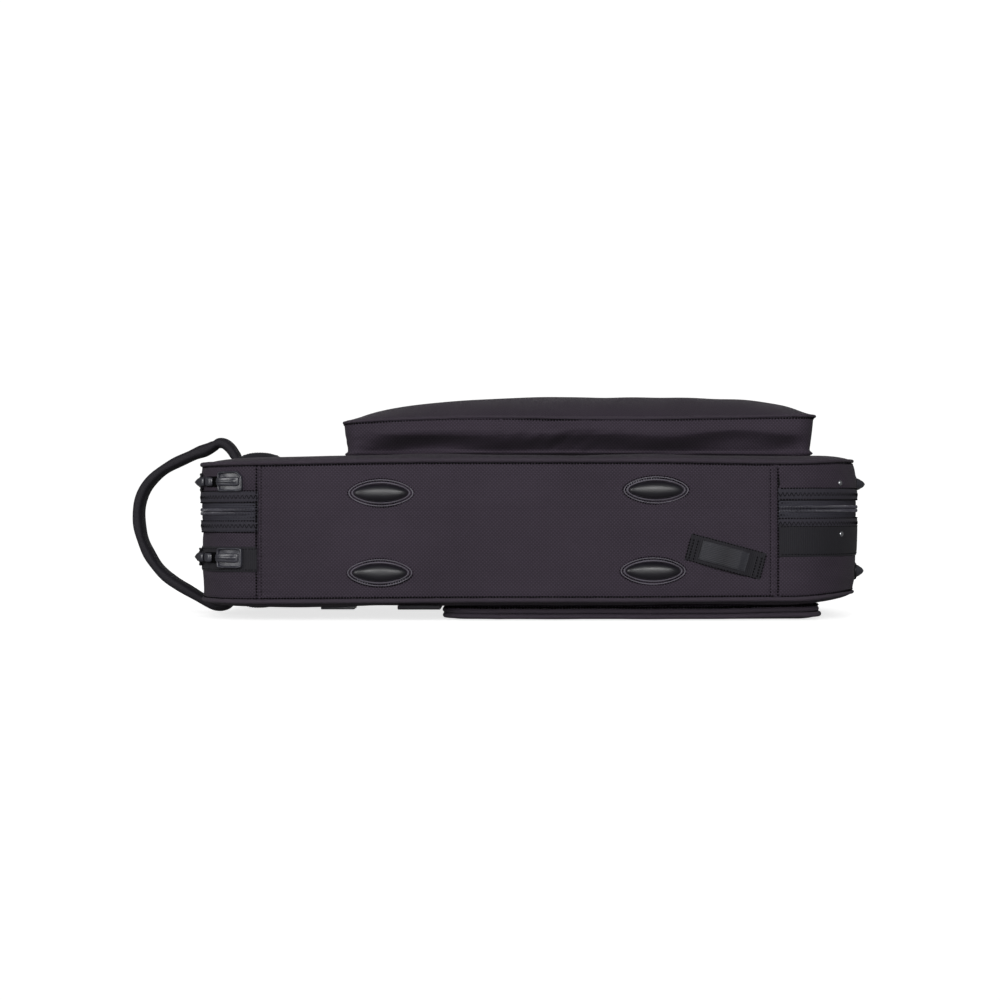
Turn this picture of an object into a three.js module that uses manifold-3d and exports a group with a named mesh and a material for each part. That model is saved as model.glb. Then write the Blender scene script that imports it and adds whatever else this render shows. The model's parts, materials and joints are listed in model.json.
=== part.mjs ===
// A soft-sided, zip-round flight case with a rigid tray inside each half. Millimetres, +Z up.
// The case lies on its back pocket: +Z is towards the front pocket, -Y is the underside with the four feet,
// +Y is the top with the carry handle, and +X runs along the case away from the end loop.
import * as THREE from "three";
import Module from "manifold-3d";
import { mergeVertices } from "three/addons/utils/BufferGeometryUtils.js";

const wasm = await Module();
wasm.setup();

// ---- Driving dimensions -------------------------------------------------------------------------------------------
// Outline of the case seen from the front, and the heights of its layers above the surface it lies on.
const CASE = { left: -308, right: 374, near: 0, far: 300, leftRadius: 64, rightRadius: 84 };
const SEAM_LEFT = -242; // where the underside panel is sewn to the end gussets
const SEAM_RIGHT = 278;
const BACK_FACE = 21; // middle of the piping round the back face
const SPLIT = 112; // zip and hinge plane between base and lid
const FRONT_FACE = 166.6; // middle of the piping round the front face
const POCKET_RIM = 205.6; // middle of the piping round the front pocket
const POCKET_CROWN = 233; // highest point of the front pocket

const FABRIC = 1.5; // ballistic nylon with its backing
const GAP = 0.3; // clearance between layers that touch
const FRAME_INSET = 3;
const FRAME_WALL = 3.5;
const LINING_WALL = 6;
const PIPING = 1.6; // radius of a piping cord
const HEM_EDGE = 8.5; // from the split to the folded hem beside the zip
const CORNER_STEPS = 8;

const FRONT_POCKET = { left: -158, right: 320, near: 30, far: 265, leftRadius: 18, rightRadius: 18 };
const BACK_POCKET = { left: -56, right: 326, near: 24, far: 262, leftRadius: 22, rightRadius: 22 };

const BELT_WIDTH = 36;
const BELT_LEFT_Z = 65;
const BELT_RIGHT_Z = 80.5;
const BELT_TOP = 2.1; // height of the belt's outer face above the gusset

const FEET = {
  foot_lid_left: { x: -119, z: 129 },
  foot_lid_right: { x: 156, z: 132 },
  foot_base_left: { x: -119, z: 51 },
  foot_base_right: { x: 153, z: 51 },
};
const FOOT = { halfLength: 27, halfWidth: 9, height: 7.8, ringLength: 33, ringWidth: 13.2, ringHeight: 2.2 };

const HANDLE = { x: 33, reach: 45, pivotSpacing: 144, pivotY: 311.5, gripLength: 164, gripWidth: 26, gripThick: 14 };
const ZIP_SLIDERS_X = 143; // where the two main sliders meet when the zip is shut

const BLACK_NYLON = { color: 0x2b272c, roughness: 0.85, metalness: 0 };
const BLACK_WEBBING = { color: 0x232527, roughness: 0.8, metalness: 0 };
const BLACK_PLASTIC = { color: 0x1d1f22, roughness: 0.35, metalness: 0 };
const BLACK_ZIP = { color: 0x1c1d20, roughness: 0.5, metalness: 0 };
const GREY_LINING = { color: 0x3a3a3d, roughness: 0.95, metalness: 0 };
const BOARD = { color: 0x8b7355, roughness: 0.8, metalness: 0 };
const GUNMETAL = { color: 0x55585c, roughness: 0.35, metalness: 1 };

// ---- Small tools --------------------------------------------------------------------------------------------------
function solidOf(geometry) {
  const bare = geometry.clone();
  bare.deleteAttribute("normal");
  bare.deleteAttribute("uv");
  const merged = mergeVertices(bare, 1e-4);
  return new wasm.Manifold(
    new wasm.Mesh({
      numProp: 3,
      vertProperties: new Float32Array(merged.attributes.position.array),
      triVerts: new Uint32Array(merged.index.array),
    }),
  );
}

function geometryOf(solid) {
  const mesh = solid.getMesh();
  return new THREE.BufferGeometry()
    .setAttribute("position", new THREE.BufferAttribute(mesh.vertProperties, 3))
    .setIndex(new THREE.BufferAttribute(mesh.triVerts, 1));
}

const join = (first, ...others) => geometryOf(others.reduce((sum, g) => sum.add(solidOf(g)), solidOf(first)));
const cut = (first, ...others) => geometryOf(others.reduce((left, g) => left.subtract(solidOf(g)), solidOf(first)));
const common = (a, b) => geometryOf(solidOf(a).intersect(solidOf(b)));

function box(x0, x1, y0, y1, z0, z1) {
  return new THREE.BoxGeometry(x1 - x0, y1 - y0, z1 - z0).translate((x0 + x1) / 2, (y0 + y1) / 2, (z0 + z1) / 2);
}

const extrudeZ = (shape, z0, z1, curveSegments = 12) =>
  new THREE.ExtrudeGeometry(shape, { depth: z1 - z0, bevelEnabled: false, curveSegments }).translate(0, 0, z0);

// A shape drawn in X and Z, given a thickness along Y.
const extrudeY = (shape, y0, y1, curveSegments = 12) =>
  new THREE.ExtrudeGeometry(shape, { depth: y1 - y0, bevelEnabled: false, curveSegments })
    .rotateX(Math.PI / 2)
    .translate(0, y1, 0);

const rod = (radius, length, sides = 12) => new THREE.CylinderGeometry(radius, radius, length, sides);
const rodX = (radius, length, sides) => rod(radius, length, sides).rotateZ(Math.PI / 2);
const rodZ = (radius, length, sides) => rod(radius, length, sides).rotateX(Math.PI / 2);

// ---- Outlines of rounded panels -----------------------------------------------------------------------------------
function arc(x, y, radius, fromDegrees, toDegrees, steps = CORNER_STEPS) {
  return Array.from({ length: steps + 1 }, (_, i) => {
    const angle = THREE.MathUtils.degToRad(fromDegrees + ((toDegrees - fromDegrees) * i) / steps);
    return new THREE.Vector2(x + radius * Math.cos(angle), y + radius * Math.sin(angle));
  });
}

// The corners of a rounded panel, clockwise from the near left one, each moved in by inset.
function corners(panel, inset) {
  const { left, right, near, far, leftRadius, rightRadius } = panel;
  const leftX = left + leftRadius;
  const rightX = right - rightRadius;
  return [
    arc(leftX, near + leftRadius, leftRadius - inset, -90, -180),
    arc(leftX, far - leftRadius, leftRadius - inset, 180, 90),
    arc(rightX, far - rightRadius, rightRadius - inset, 90, 0),
    arc(rightX, near + rightRadius, rightRadius - inset, 0, -90),
  ].flat();
}

const panelShape = (panel, inset) => new THREE.Shape(corners(panel, inset));

function ring(panel, outerInset, innerInset, z0, z1) {
  const shape = panelShape(panel, outerInset);
  shape.holes.push(new THREE.Path(corners(panel, innerInset).reverse()));
  return extrudeZ(shape, z0, z1);
}

// A band that runs round the case from seam to seam and leaves out the underside.
function wrap(outerInset, innerInset, z0, z1, seamGap = GAP / 2) {
  const side = (inset) => [
    new THREE.Vector2(SEAM_LEFT - seamGap, CASE.near + inset),
    ...corners(CASE, inset),
    new THREE.Vector2(SEAM_RIGHT + seamGap, CASE.near + inset),
  ];
  return extrudeZ(new THREE.Shape([...side(outerInset), ...side(innerInset).reverse()]), z0, z1);
}

// An open tray: floor and walls of one thickness, its mouth towards the split.
function tray(inset, wall, floorZ, mouthZ) {
  const up = Math.sign(mouthZ - floorZ);
  const [low, high] = [Math.min(floorZ, mouthZ), Math.max(floorZ, mouthZ)];
  const inner = [floorZ + up * wall, mouthZ + up];
  return cut(
    extrudeZ(panelShape(CASE, inset), low, high),
    extrudeZ(panelShape(CASE, inset + wall), Math.min(...inner), Math.max(...inner)),
  );
}

// ---- The assembly -------------------------------------------------------------------------------------------------
const flightCase = new THREE.Group();

function add(name, geometry, look) {
  const mesh = new THREE.Mesh(geometry, new THREE.MeshStandardMaterial(look));
  mesh.name = name;
  flightCase.add(mesh);
  return mesh;
}

// ---- Shells: a board tray, its padded lining and the sewn cover of each half ---------------------------------------
function addShells() {
  const baseFloor = BACK_FACE + 2.3;
  const lidFloor = FRONT_FACE - 1.9;
  const liningInset = FRAME_INSET + FRAME_WALL + GAP;
  add("base_frame", tray(FRAME_INSET, FRAME_WALL, baseFloor, SPLIT - 0.2), BOARD);
  add("lid_frame", tray(FRAME_INSET, FRAME_WALL, lidFloor, SPLIT + 0.2), BOARD);
  add("base_lining", tray(liningInset, LINING_WALL, baseFloor + FRAME_WALL + GAP, SPLIT - 0.5), GREY_LINING);
  add("lid_lining", tray(liningInset, LINING_WALL, lidFloor - FRAME_WALL - GAP, SPLIT + 0.5), GREY_LINING);

  const baseEdge = BACK_FACE + PIPING + GAP;
  const lidEdge = FRONT_FACE - PIPING - GAP;
  add("base_gusset_cover", wrap(0, FABRIC, baseEdge, SPLIT - HEM_EDGE), BLACK_NYLON);
  add("lid_gusset_cover", wrap(0, FABRIC, SPLIT + HEM_EDGE, lidEdge), BLACK_NYLON);

  const [seamL, seamR] = [SEAM_LEFT + GAP / 2, SEAM_RIGHT - GAP / 2];
  add("base_bottom_cover", box(seamL, seamR, 0, FABRIC, baseEdge, SPLIT - GAP / 2), BLACK_NYLON);
  add("lid_bottom_cover", box(seamL, seamR, 0, FABRIC, SPLIT + GAP / 2, lidEdge), BLACK_NYLON);

  const faceInset = 2.7;
  add("back_panel_cover", extrudeZ(panelShape(CASE, faceInset), BACK_FACE - 1.2, BACK_FACE + 0.4), BLACK_NYLON);
  add("front_panel_cover", extrudeZ(panelShape(CASE, faceInset), FRONT_FACE - 0.6, FRONT_FACE + 1), BLACK_NYLON);
  for (const [name, z] of [["back_piping", BACK_FACE], ["front_piping", FRONT_FACE]])
    add(name, ring(CASE, -1.2, 2.4, z - PIPING, z + PIPING), BLACK_NYLON);
}

// ---- The main zip: one stringer on each half, a tape with its coil ---------------------------------------------------
function addMainZip() {
  const tape = { from: 1.8, to: 2.7, reach: 14 };
  const coil = { from: 0.2, to: 2, reach: 3.4 };
  for (const [name, side] of [["base_zip_stringer", -1], ["lid_zip_stringer", 1]]) {
    const band = ({ from, to, reach }) => {
      const [a, b] = [SPLIT + side * 0.2, SPLIT + side * reach];
      return wrap(from, to, Math.min(a, b), Math.max(a, b));
    };
    add(name, join(band(tape), band(coil)), BLACK_ZIP);
  }
}

// A zip slider: a plate over the teeth with a drilled bridge. It travels along X and its outer side faces +Y.
function sliderGeometry(size) {
  const plate = box(-8, 8, 0, 2.4, -7, 7);
  const bridge = box(-3, 3, 2, 6, -2, 2);
  const eye = rodZ(1.7, 10).translate(0, 4.4, 0);
  return cut(join(plate, bridge), eye).scale(size, size, size);
}

// The pull of that slider, lying flat along direction (1 or -1 times X), with its pin at the slider's eye.
function pullGeometry(size, direction) {
  const tab = cut(box(-1.5, 33, -1, 1, -4.5, 4.5), box(1.6, 9, -2, 2, -2.6, 2.6));
  const slot = box(-3, 1.6, -2, 2, -2.6, 2.6);
  const pin = rodZ(1.2, 8.8, 8);
  const made = join(cut(tab, slot), pin);
  return made.rotateZ(direction < 0 ? Math.PI : 0).scale(size, size, size);
}

function addSlider(prefix, x, y, z, size, direction) {
  add(prefix + "_slider", sliderGeometry(size), GUNMETAL).position.set(x, y, z);
  add(prefix + "_pull", pullGeometry(size, direction), GUNMETAL).position.set(x, y + 4.4 * size, z);
}

function addMainSliders() {
  const y = CASE.far + 0.8;
  addSlider("zip_left", ZIP_SLIDERS_X - 13, y, SPLIT, 1, -1);
  addSlider("zip_right", ZIP_SLIDERS_X + 13, y, SPLIT, 1, 1);
}

// ---- Pockets --------------------------------------------------------------------------------------------------------
// A sheet whose middle rises like a pillow: the rise falls to nothing at the edges as 1 - |u|^2.5.
function pillow(panel, inset, z, rise, thickness) {
  const { left, right, near, far } = panel;
  const [halfX, halfY] = [(right - left) / 2 - inset, (far - near) / 2 - inset];
  const sheet = new THREE.BoxGeometry(2 * halfX, 2 * halfY, thickness, 14, 8, 1);
  const p = sheet.attributes.position;
  for (let i = 0; i < p.count; i++) {
    const [u, v] = [Math.abs(p.getX(i)) / halfX, Math.abs(p.getY(i)) / halfY];
    p.setZ(i, p.getZ(i) + rise * (1 - Math.min(u, 1) ** 2.5) * (1 - Math.min(v, 1) ** 2.5));
  }
  sheet.translate((left + right) / 2, (near + far) / 2, z + thickness / 2);
  return common(sheet, extrudeZ(panelShape(panel, inset), z - 1, z + rise + thickness + 1));
}

function addFrontPocket() {
  const faceTop = FRONT_FACE + 1;
  add("front_pocket_gusset", ring(FRONT_POCKET, 0, 2, faceTop + GAP, POCKET_RIM - PIPING - GAP), BLACK_NYLON);
  add("front_pocket_piping", ring(FRONT_POCKET, -1.2, 2.3, POCKET_RIM - PIPING, POCKET_RIM + PIPING), BLACK_NYLON);
  const sheet = 2;
  const edge = POCKET_RIM - 1;
  add("front_pocket_panel", pillow(FRONT_POCKET, 2.6, edge, POCKET_CROWN - sheet - edge, sheet), BLACK_NYLON);
  const { left, right, far } = FRONT_POCKET;
  const z = 188;
  add("front_pocket_zip", box(left + 24, right - 24, far + GAP, far + 2, z - 3, z + 3), BLACK_ZIP);
  addSlider("front_pocket_zip", left + 40, far + 2.4, z, 0.9, 1);
}

function addBackPocket() {
  const { left, right, far } = BACK_POCKET;
  const panelTop = 2.6;
  const pipingTop = 4.3;
  add("back_pocket_panel", extrudeZ(panelShape(BACK_POCKET, 2.5), 0, panelTop), BLACK_NYLON);
  add("back_pocket_piping", ring(BACK_POCKET, -1.2, 2.2, 1.1, pipingTop), BLACK_NYLON);
  add("back_pocket_gusset", ring(BACK_POCKET, 0, 2, pipingTop + GAP, BACK_FACE - 1.2 - GAP), BLACK_NYLON);
  const z = 11.6;
  add("back_pocket_zip", box(left + 26, right - 26, far + GAP, far + 1.8, z - 2.5, z + 2.5), BLACK_ZIP);
  addSlider("back_pocket_zip", left + 40, far + 2.2, z, 0.7, 1);
}

// ---- Feet: an oval dome in a stitched surround ------------------------------------------------------------------------
function addFeet() {
  const { halfLength, halfWidth, height, ringLength, ringWidth, ringHeight } = FOOT;
  const flat = 0.3; // share of the dome's radius that is flat at its tip
  const dome = arc(0, 0, 1, 0, 90, 5).map(({ x, y }) => [flat * (1 - x) * y + x, 1.5 + (height - 1.5) * y]);
  const profile = [[0, GAP], [1, GAP], ...dome, [0, height]].map(([r, depth]) => new THREE.Vector2(r, -depth));
  for (const [name, { x, z }] of Object.entries(FEET)) {
    const shape = new THREE.LatheGeometry(profile, 28).scale(halfLength, 1, halfWidth);
    add(name, outward(shape).translate(x, 0, z), BLACK_PLASTIC);
    const surround = new THREE.Shape().absellipse(0, 0, ringLength, ringWidth, 0, Math.PI * 2);
    surround.holes.push(new THREE.Path().absellipse(0, 0, halfLength + 0.8, halfWidth + 0.8, 0, Math.PI * 2));
    add(name.replace("foot", "foot_surround"), extrudeY(surround, -ringHeight, -GAP, 14).translate(x, 0, z), BLACK_PLASTIC);
  }
}

// Turns a closed geometry's faces outwards, if they point in.
function outward(geometry) {
  const solid = solidOf(geometry);
  if (solid.volume() > 0) return geometryOf(solid);
  const flipped = geometry.clone();
  const index = flipped.index.array;
  for (let i = 0; i < index.length; i += 3) [index[i], index[i + 1]] = [index[i + 1], index[i]];
  return geometryOf(solidOf(flipped));
}

// ---- Webbing belt round the base, its height drifting from one end to the other ------------------------------------------
const beltZ = (x) =>
  THREE.MathUtils.mapLinear(
    THREE.MathUtils.clamp(x, CASE.left + CASE.leftRadius, CASE.right - CASE.rightRadius),
    CASE.left + CASE.leftRadius,
    CASE.right - CASE.rightRadius,
    BELT_LEFT_Z,
    BELT_RIGHT_Z,
  );

function addBelt() {
  const band = wrap(-BELT_TOP, -0.4, -BELT_WIDTH / 2, BELT_WIDTH / 2, 2);
  const p = band.attributes.position;
  for (let i = 0; i < p.count; i++) p.setZ(i, p.getZ(i) + beltZ(p.getX(i)));
  add("webbing_belt", band, BLACK_WEBBING);
}

// ---- Strap anchors and D-rings on the two ends ----------------------------------------------------------------------------
const ENDS = {
  left: { arcX: CASE.left + CASE.leftRadius, radius: CASE.leftRadius, sign: -1 },
  right: { arcX: CASE.right - CASE.rightRadius, radius: CASE.rightRadius, sign: 1 },
};

// The point at a distance along an end from its lower tangent, and out from the gusset.
function endPoint(end, along, out) {
  const quarter = (end.radius * Math.PI) / 2;
  const reach = end.radius + out;
  if (along > quarter) return new THREE.Vector2(end.arcX + end.sign * reach, end.radius + along - quarter);
  const angle = along / end.radius;
  return new THREE.Vector2(end.arcX + end.sign * reach * Math.sin(angle), end.radius - reach * Math.cos(angle));
}

// Distances along an anchor from its plate's free edge; heights are above the surface that it is riveted to.
const ANCHOR = { plateLength: 26, plateHalf: 9.5, spineEnd: 58, spineHalf: 4, spineHigh: 5, noseFrom: 58, noseTo: 80 };
const ANCHOR_SLOTS = [[26.5, 30], [38.5, 45]];
const RING = { pivotAlong: 54.5, pivotHigh: 3.2, length: 31, halfWidth: 9.2, wire: 3, clearance: 0.4, tipLift: 1.6 };

// place.start is where the plate's edge lies along the end, and place.step is 1 or -1 for the way it points.
function anchorGeometry(end, place) {
  const at = (along, high) => endPoint(end, place.start + place.step * along, place.rise + high);
  const strip = (from, to, low, highAt, half) => {
    const steps = Math.max(2, Math.round((to - from) / 4));
    const marks = Array.from({ length: steps + 1 }, (_, i) => from + ((to - from) * i) / steps);
    const outline = [...marks.map((a) => at(a, highAt(a))), ...marks.reverse().map((a) => at(a, low))];
    return extrudeZ(new THREE.Shape(outline), place.z - half, place.z + half);
  };
  const { plateLength, plateHalf, spineEnd, spineHalf, spineHigh, noseFrom, noseTo } = ANCHOR;
  const middle = (noseFrom + noseTo) / 2;
  const halfNose = (noseTo - noseFrom) / 2;
  const rimmed = cut(
    strip(0, plateLength, 0, () => 3.2, plateHalf),
    strip(2, plateLength - 2, 2.2, () => 6, plateHalf - 2),
  );
  const tongue = strip(5, 24, 1, () => 4.4, 5);
  const sole = strip(plateLength - 1, noseTo, 0, () => 1.4, spineHalf);
  const spine = strip(plateLength - 1, spineEnd, 1, () => spineHigh, spineHalf);
  const nose = strip(noseFrom, noseTo, 0, (a) => 1 + 9 * (1 - Math.abs(a - middle) / halfNose) ** 0.8, 3.5);
  const shoulder = strip(noseFrom + 3, noseTo - 3, 0, (a) => 1 + 4 * (1 - Math.abs(a - middle) / halfNose), 7);
  const eyeHalf = RING.wire / 2 + RING.clearance;
  const eyeSpan = [RING.pivotAlong - eyeHalf, RING.pivotAlong + eyeHalf];
  const eyeRoof = strip(eyeSpan[0] - 2, eyeSpan[1] + 2, 1, () => RING.pivotHigh + eyeHalf + 1.6, spineHalf);
  const eye = strip(...eyeSpan, RING.pivotHigh - eyeHalf, () => RING.pivotHigh + eyeHalf, spineHalf + 1);
  const slots = ANCHOR_SLOTS.map(([from, to]) => strip(from, to, 1.2, () => 9, spineHalf + 1));
  return cut(join(cut(join(rimmed, tongue, sole, spine), ...slots), eyeRoof, nose, shoulder), eye);
}

// A D-ring: its round bar on the local Z axis, its flat bow along local X.
function ringGeometry() {
  const { length, halfWidth, wire } = RING;
  const inside = halfWidth - wire / 2;
  const outline = (half, from, to) => {
    const shape = new THREE.Shape();
    shape.moveTo(from, -half);
    shape.lineTo(to - half, -half);
    shape.absarc(to - half, 0, half, -Math.PI / 2, Math.PI / 2, false);
    shape.lineTo(from, half);
    return shape;
  };
  const shape = outline(halfWidth + wire / 2, -wire / 2, length + wire / 2);
  shape.holes.push(new THREE.Path(outline(halfWidth - wire / 2, wire / 2, length - wire / 2).getPoints(6)));
  const bow = cut(extrudeY(shape, -wire / 2, wire / 2, 6), box(-wire, wire, -wire, wire, -inside, inside));
  return join(bow, rodZ(wire / 2, 2 * halfWidth));
}

function addAnchors() {
  const places = {
    base_left: { end: ENDS.left, start: 14.5, step: 1, rise: BELT_TOP + 0.4, z: 64 },
    lid_left: { end: ENDS.left, start: 14.5, step: 1, rise: 0.4, z: 140.6 },
    base_right: { end: ENDS.right, start: 204, step: -1, rise: 0.4, z: 48 },
    lid_right: { end: ENDS.right, start: 204, step: -1, rise: 0.4, z: 139 },
  };
  for (const [name, place] of Object.entries(places)) {
    add("strap_anchor_" + name, anchorGeometry(place.end, place), BLACK_PLASTIC);
    const along = (a) => place.start + place.step * a;
    const pivot = endPoint(place.end, along(RING.pivotAlong), place.rise + RING.pivotHigh);
    const tip = endPoint(place.end, along(RING.pivotAlong + RING.length), place.rise + RING.pivotHigh + RING.tipLift);
    const ringMesh = add("strap_ring_" + name, ringGeometry(), GUNMETAL);
    ringMesh.position.set(pivot.x, pivot.y, place.z);
    ringMesh.rotation.z = Math.atan2(tip.y - pivot.y, tip.x - pivot.x);
  }
}

// ---- Carry handle on the top, hanging against the base -----------------------------------------------------------------------
const handleZ = beltZ(HANDLE.x);

function bracketGeometry() {
  const plate = box(-14, 14, CASE.far + BELT_TOP + 0.3, CASE.far + 5.4, -16, 16);
  const cheek = (x) => box(x - 1.5, x + 1.5, CASE.far + 5, HANDLE.pivotY + 4, -5, 5);
  const pin = rodX(2.5, 22, 16).translate(0, HANDLE.pivotY, 0);
  return join(plate, cheek(-10), cheek(10), pin);
}

function roundedBar(halfX, z0, z1, radius) {
  const shape = new THREE.Shape();
  shape.absarc(halfX - radius, z0 + radius, radius, -Math.PI / 2, 0, false);
  shape.absarc(halfX - radius, z1 - radius, radius, 0, Math.PI / 2, false);
  shape.absarc(-halfX + radius, z1 - radius, radius, Math.PI / 2, Math.PI, false);
  shape.absarc(-halfX + radius, z0 + radius, radius, Math.PI, 1.5 * Math.PI, false);
  return shape;
}

function addCarryHandle() {
  const { x, reach, pivotSpacing, pivotY, gripLength, gripWidth, gripThick } = HANDLE;
  const half = pivotSpacing / 2;
  for (const [name, side] of [["left", -1], ["right", 1]])
    add("handle_bracket_" + name, bracketGeometry(), BLACK_PLASTIC).position.set(x + side * half, 0, handleZ);
  const low = -reach - gripWidth / 2;
  const grip = extrudeY(roundedBar(gripLength / 2, low, low + gripWidth, 11), -gripThick / 2, gripThick / 2, 4);
  const arm = (side) => box(side * half - 8, side * half + 8, -2.5, 2.5, -reach, -3);
  const eye = (side) => rodX(5.2, 16, 16).translate(side * half, 0, 0);
  const hole = (side) => rodX(3, 20, 16).translate(side * half, 0, 0);
  const handle = cut(join(grip, arm(-1), arm(1), eye(-1), eye(1)), hole(-1), hole(1));
  add("carry_handle", handle, BLACK_PLASTIC).position.set(x, pivotY, handleZ);
}

// ---- Padded loop across the left end, from the front face to the back face ------------------------------------------------------
const LOOP = { near: 105, width: 30, halfThick: 5.3, endThick: 1.5, split: -322 };
const LOOP_LINE = [
  [-281, 17.6], [-288, 13.6], [-296, 7.8], [-307, 9.8], [-320, 17.3], [-334, 25.9], [-353, 36.7], [-365, 47.4],
  [-373, 58.2], [-379, 68.9], [-383.5, 79.7], [-387, 92.6], [-388, 104], [-385, 128], [-374, 144.2], [-360, 156],
  [-344, 164], [-322.5, 173.6], [-306.4, 179.2], [-297, 179], [-288.5, 173.5], [-281, 169.3],
];

// The loop's outline in X and Z between two shares of its length: thin at both sewn ends and padded in between.
function loopSegment(curve, from, to, steps) {
  const sides = [[], []];
  for (let i = 0; i <= steps; i++) {
    const t = from + ((to - from) * i) / steps;
    const centre = curve.getPointAt(t);
    const along = curve.getTangentAt(t);
    const nearEnd = Math.min(t, 1 - t);
    const padding = THREE.MathUtils.smoothstep(nearEnd, 0.03, 0.16);
    const half = THREE.MathUtils.lerp(LOOP.endThick, LOOP.halfThick, padding);
    sides[0].push(new THREE.Vector2(centre.x - along.z * half, centre.z + along.x * half));
    sides[1].push(new THREE.Vector2(centre.x + along.z * half, centre.z - along.x * half));
  }
  const shape = new THREE.Shape([...sides[0], ...sides[1].reverse()]);
  return extrudeY(shape, LOOP.near, LOOP.near + LOOP.width);
}

function addEndLoop() {
  const curve = new THREE.CatmullRomCurve3(LOOP_LINE.map(([x, z]) => new THREE.Vector3(x, 0, z)));
  let cutAt = 0.5; // share of the length where the loop passes the split plane on its way to the front face
  while (curve.getPointAt(cutAt).x < LOOP.split) cutAt += 0.0005;
  const gap = 0.0005;
  add("end_loop", loopSegment(curve, 0, cutAt - gap, 34), BLACK_WEBBING);
  add("end_loop_tail", loopSegment(curve, cutAt + gap, 1, 9), BLACK_WEBBING);
  const [near, far] = [LOOP.near - 3, LOOP.near + LOOP.width + 3];
  add("loop_patch_back", box(-279.4, -240, near, far, BACK_FACE - 4.3, BACK_FACE - 1.5), BLACK_WEBBING);
  add("loop_patch_front", box(-279.4, -240, near, far, FRONT_FACE + 1.3, FRONT_FACE + 4.1), BLACK_WEBBING);
}

// ---- Small pieces on the underside, back and right end ------------------------------------------------------------------------------
// A short webbing loop sewn flat at both ends and proud in the middle.
function addBottomTab() {
  const [half, sewn, rise, thick] = [39, 15, 4.2, 1.8];
  const line = (offset) =>
    [[-half, 0], [-half + sewn, 0], [-half + sewn + 7, rise], [half - sewn - 7, rise], [half - sewn, 0], [half, 0]].map(
      ([u, d]) => new THREE.Vector2(u, -GAP - d - offset),
    );
  const shape = new THREE.Shape([...line(0), ...line(thick).reverse()]);
  const tab = add("bottom_tab", extrudeZ(shape, -12.5, 12.5), BLACK_WEBBING);
  tab.position.set(227, 0, 66);
  tab.rotation.y = THREE.MathUtils.degToRad(13);
}

// On the back face: the slide for a strap, a plate with two slots, and the end of a doubled webbing band.
function addBackHardware() {
  const [x, y] = [-165, 40];
  const [low, high] = [BACK_FACE - 5.5, BACK_FACE - 1.6];
  const slot = (dy) => box(x - 12, x + 12, y + dy - 2.5, y + dy + 2.5, low - 1, high + 1);
  add("back_webbing_band", box(-103, -59.5, 6, 60, low - 0.4, high), BLACK_WEBBING);
  add("back_strap_slide", cut(box(x - 17, x + 17, y - 14, y + 14, low, high), slot(-7), slot(7)), BLACK_PLASTIC);
}

function addRivets() {
  const angle = THREE.MathUtils.degToRad(41);
  const along = angle * ENDS.right.radius;
  for (const [name, rise, z] of [["rivet_lid", 0.4, 139.3], ["rivet_base", BELT_TOP + 0.4, 87.7]]) {
    const foot = endPoint(ENDS.right, along, rise);
    const head = new THREE.CylinderGeometry(3, 2, 1.6, 12).rotateZ(Math.PI + angle).translate(foot.x, foot.y, z);
    const out = endPoint(ENDS.right, along, rise + 0.8).sub(foot);
    add(name, head.translate(out.x, out.y, 0), GUNMETAL);
  }
}

addShells();
addMainZip();
addMainSliders();
addFrontPocket();
addBackPocket();
addFeet();
addBelt();
addAnchors();
addCarryHandle();
addEndLoop();
addBottomTab();
addBackHardware();
addRivets();

// The origin is the middle of the footprint, on the surface that the case lies on.
const extent = new THREE.Box3().setFromObject(flightCase, true);
const middle = extent.getCenter(new THREE.Vector3());
const placed = new THREE.Group();
flightCase.position.set(-middle.x, -middle.y, -extent.min.z);
placed.add(flightCase);

export default placed;
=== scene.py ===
"""Soft-sided, zip-round flight case: its cloth, webbing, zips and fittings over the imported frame.

Sizes are in millimetres in the maker's own frame: x along the case, y from the underside to the top
and z from the back face to the front face. Piece.build turns them into the shared frame, in metres.
"""
import json
import logging
import math
from collections.abc import Callable
from dataclasses import dataclass, field
from enum import Enum
from functools import partial

import bmesh
import bpy
import numpy as np
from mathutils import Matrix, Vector

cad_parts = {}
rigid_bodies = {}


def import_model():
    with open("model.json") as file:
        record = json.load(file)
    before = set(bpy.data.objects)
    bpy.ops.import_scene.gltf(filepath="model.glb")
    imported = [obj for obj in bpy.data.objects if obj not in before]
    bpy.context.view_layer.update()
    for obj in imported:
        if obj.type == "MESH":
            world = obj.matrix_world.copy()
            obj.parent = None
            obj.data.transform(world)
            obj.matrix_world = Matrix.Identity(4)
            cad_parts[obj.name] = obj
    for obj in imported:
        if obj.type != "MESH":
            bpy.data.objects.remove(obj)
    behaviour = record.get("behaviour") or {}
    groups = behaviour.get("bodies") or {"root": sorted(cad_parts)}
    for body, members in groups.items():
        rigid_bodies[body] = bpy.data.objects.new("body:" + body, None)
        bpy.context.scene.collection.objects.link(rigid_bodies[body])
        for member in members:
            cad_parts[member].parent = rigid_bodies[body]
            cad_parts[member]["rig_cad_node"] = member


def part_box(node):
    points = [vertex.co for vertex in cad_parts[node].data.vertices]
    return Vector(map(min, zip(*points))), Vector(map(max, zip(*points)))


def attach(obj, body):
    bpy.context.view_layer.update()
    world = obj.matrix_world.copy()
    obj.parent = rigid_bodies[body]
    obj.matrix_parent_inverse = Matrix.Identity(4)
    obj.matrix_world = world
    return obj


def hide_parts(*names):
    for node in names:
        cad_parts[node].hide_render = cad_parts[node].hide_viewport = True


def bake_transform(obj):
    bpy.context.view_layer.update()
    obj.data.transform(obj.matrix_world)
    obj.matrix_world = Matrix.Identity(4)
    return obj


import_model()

Array = np.ndarray
MM = 0.001
LOG = logging.getLogger("flight_case")
OUT_OF_UNDERSIDE = np.array([0.0, -1, 0])


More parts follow.
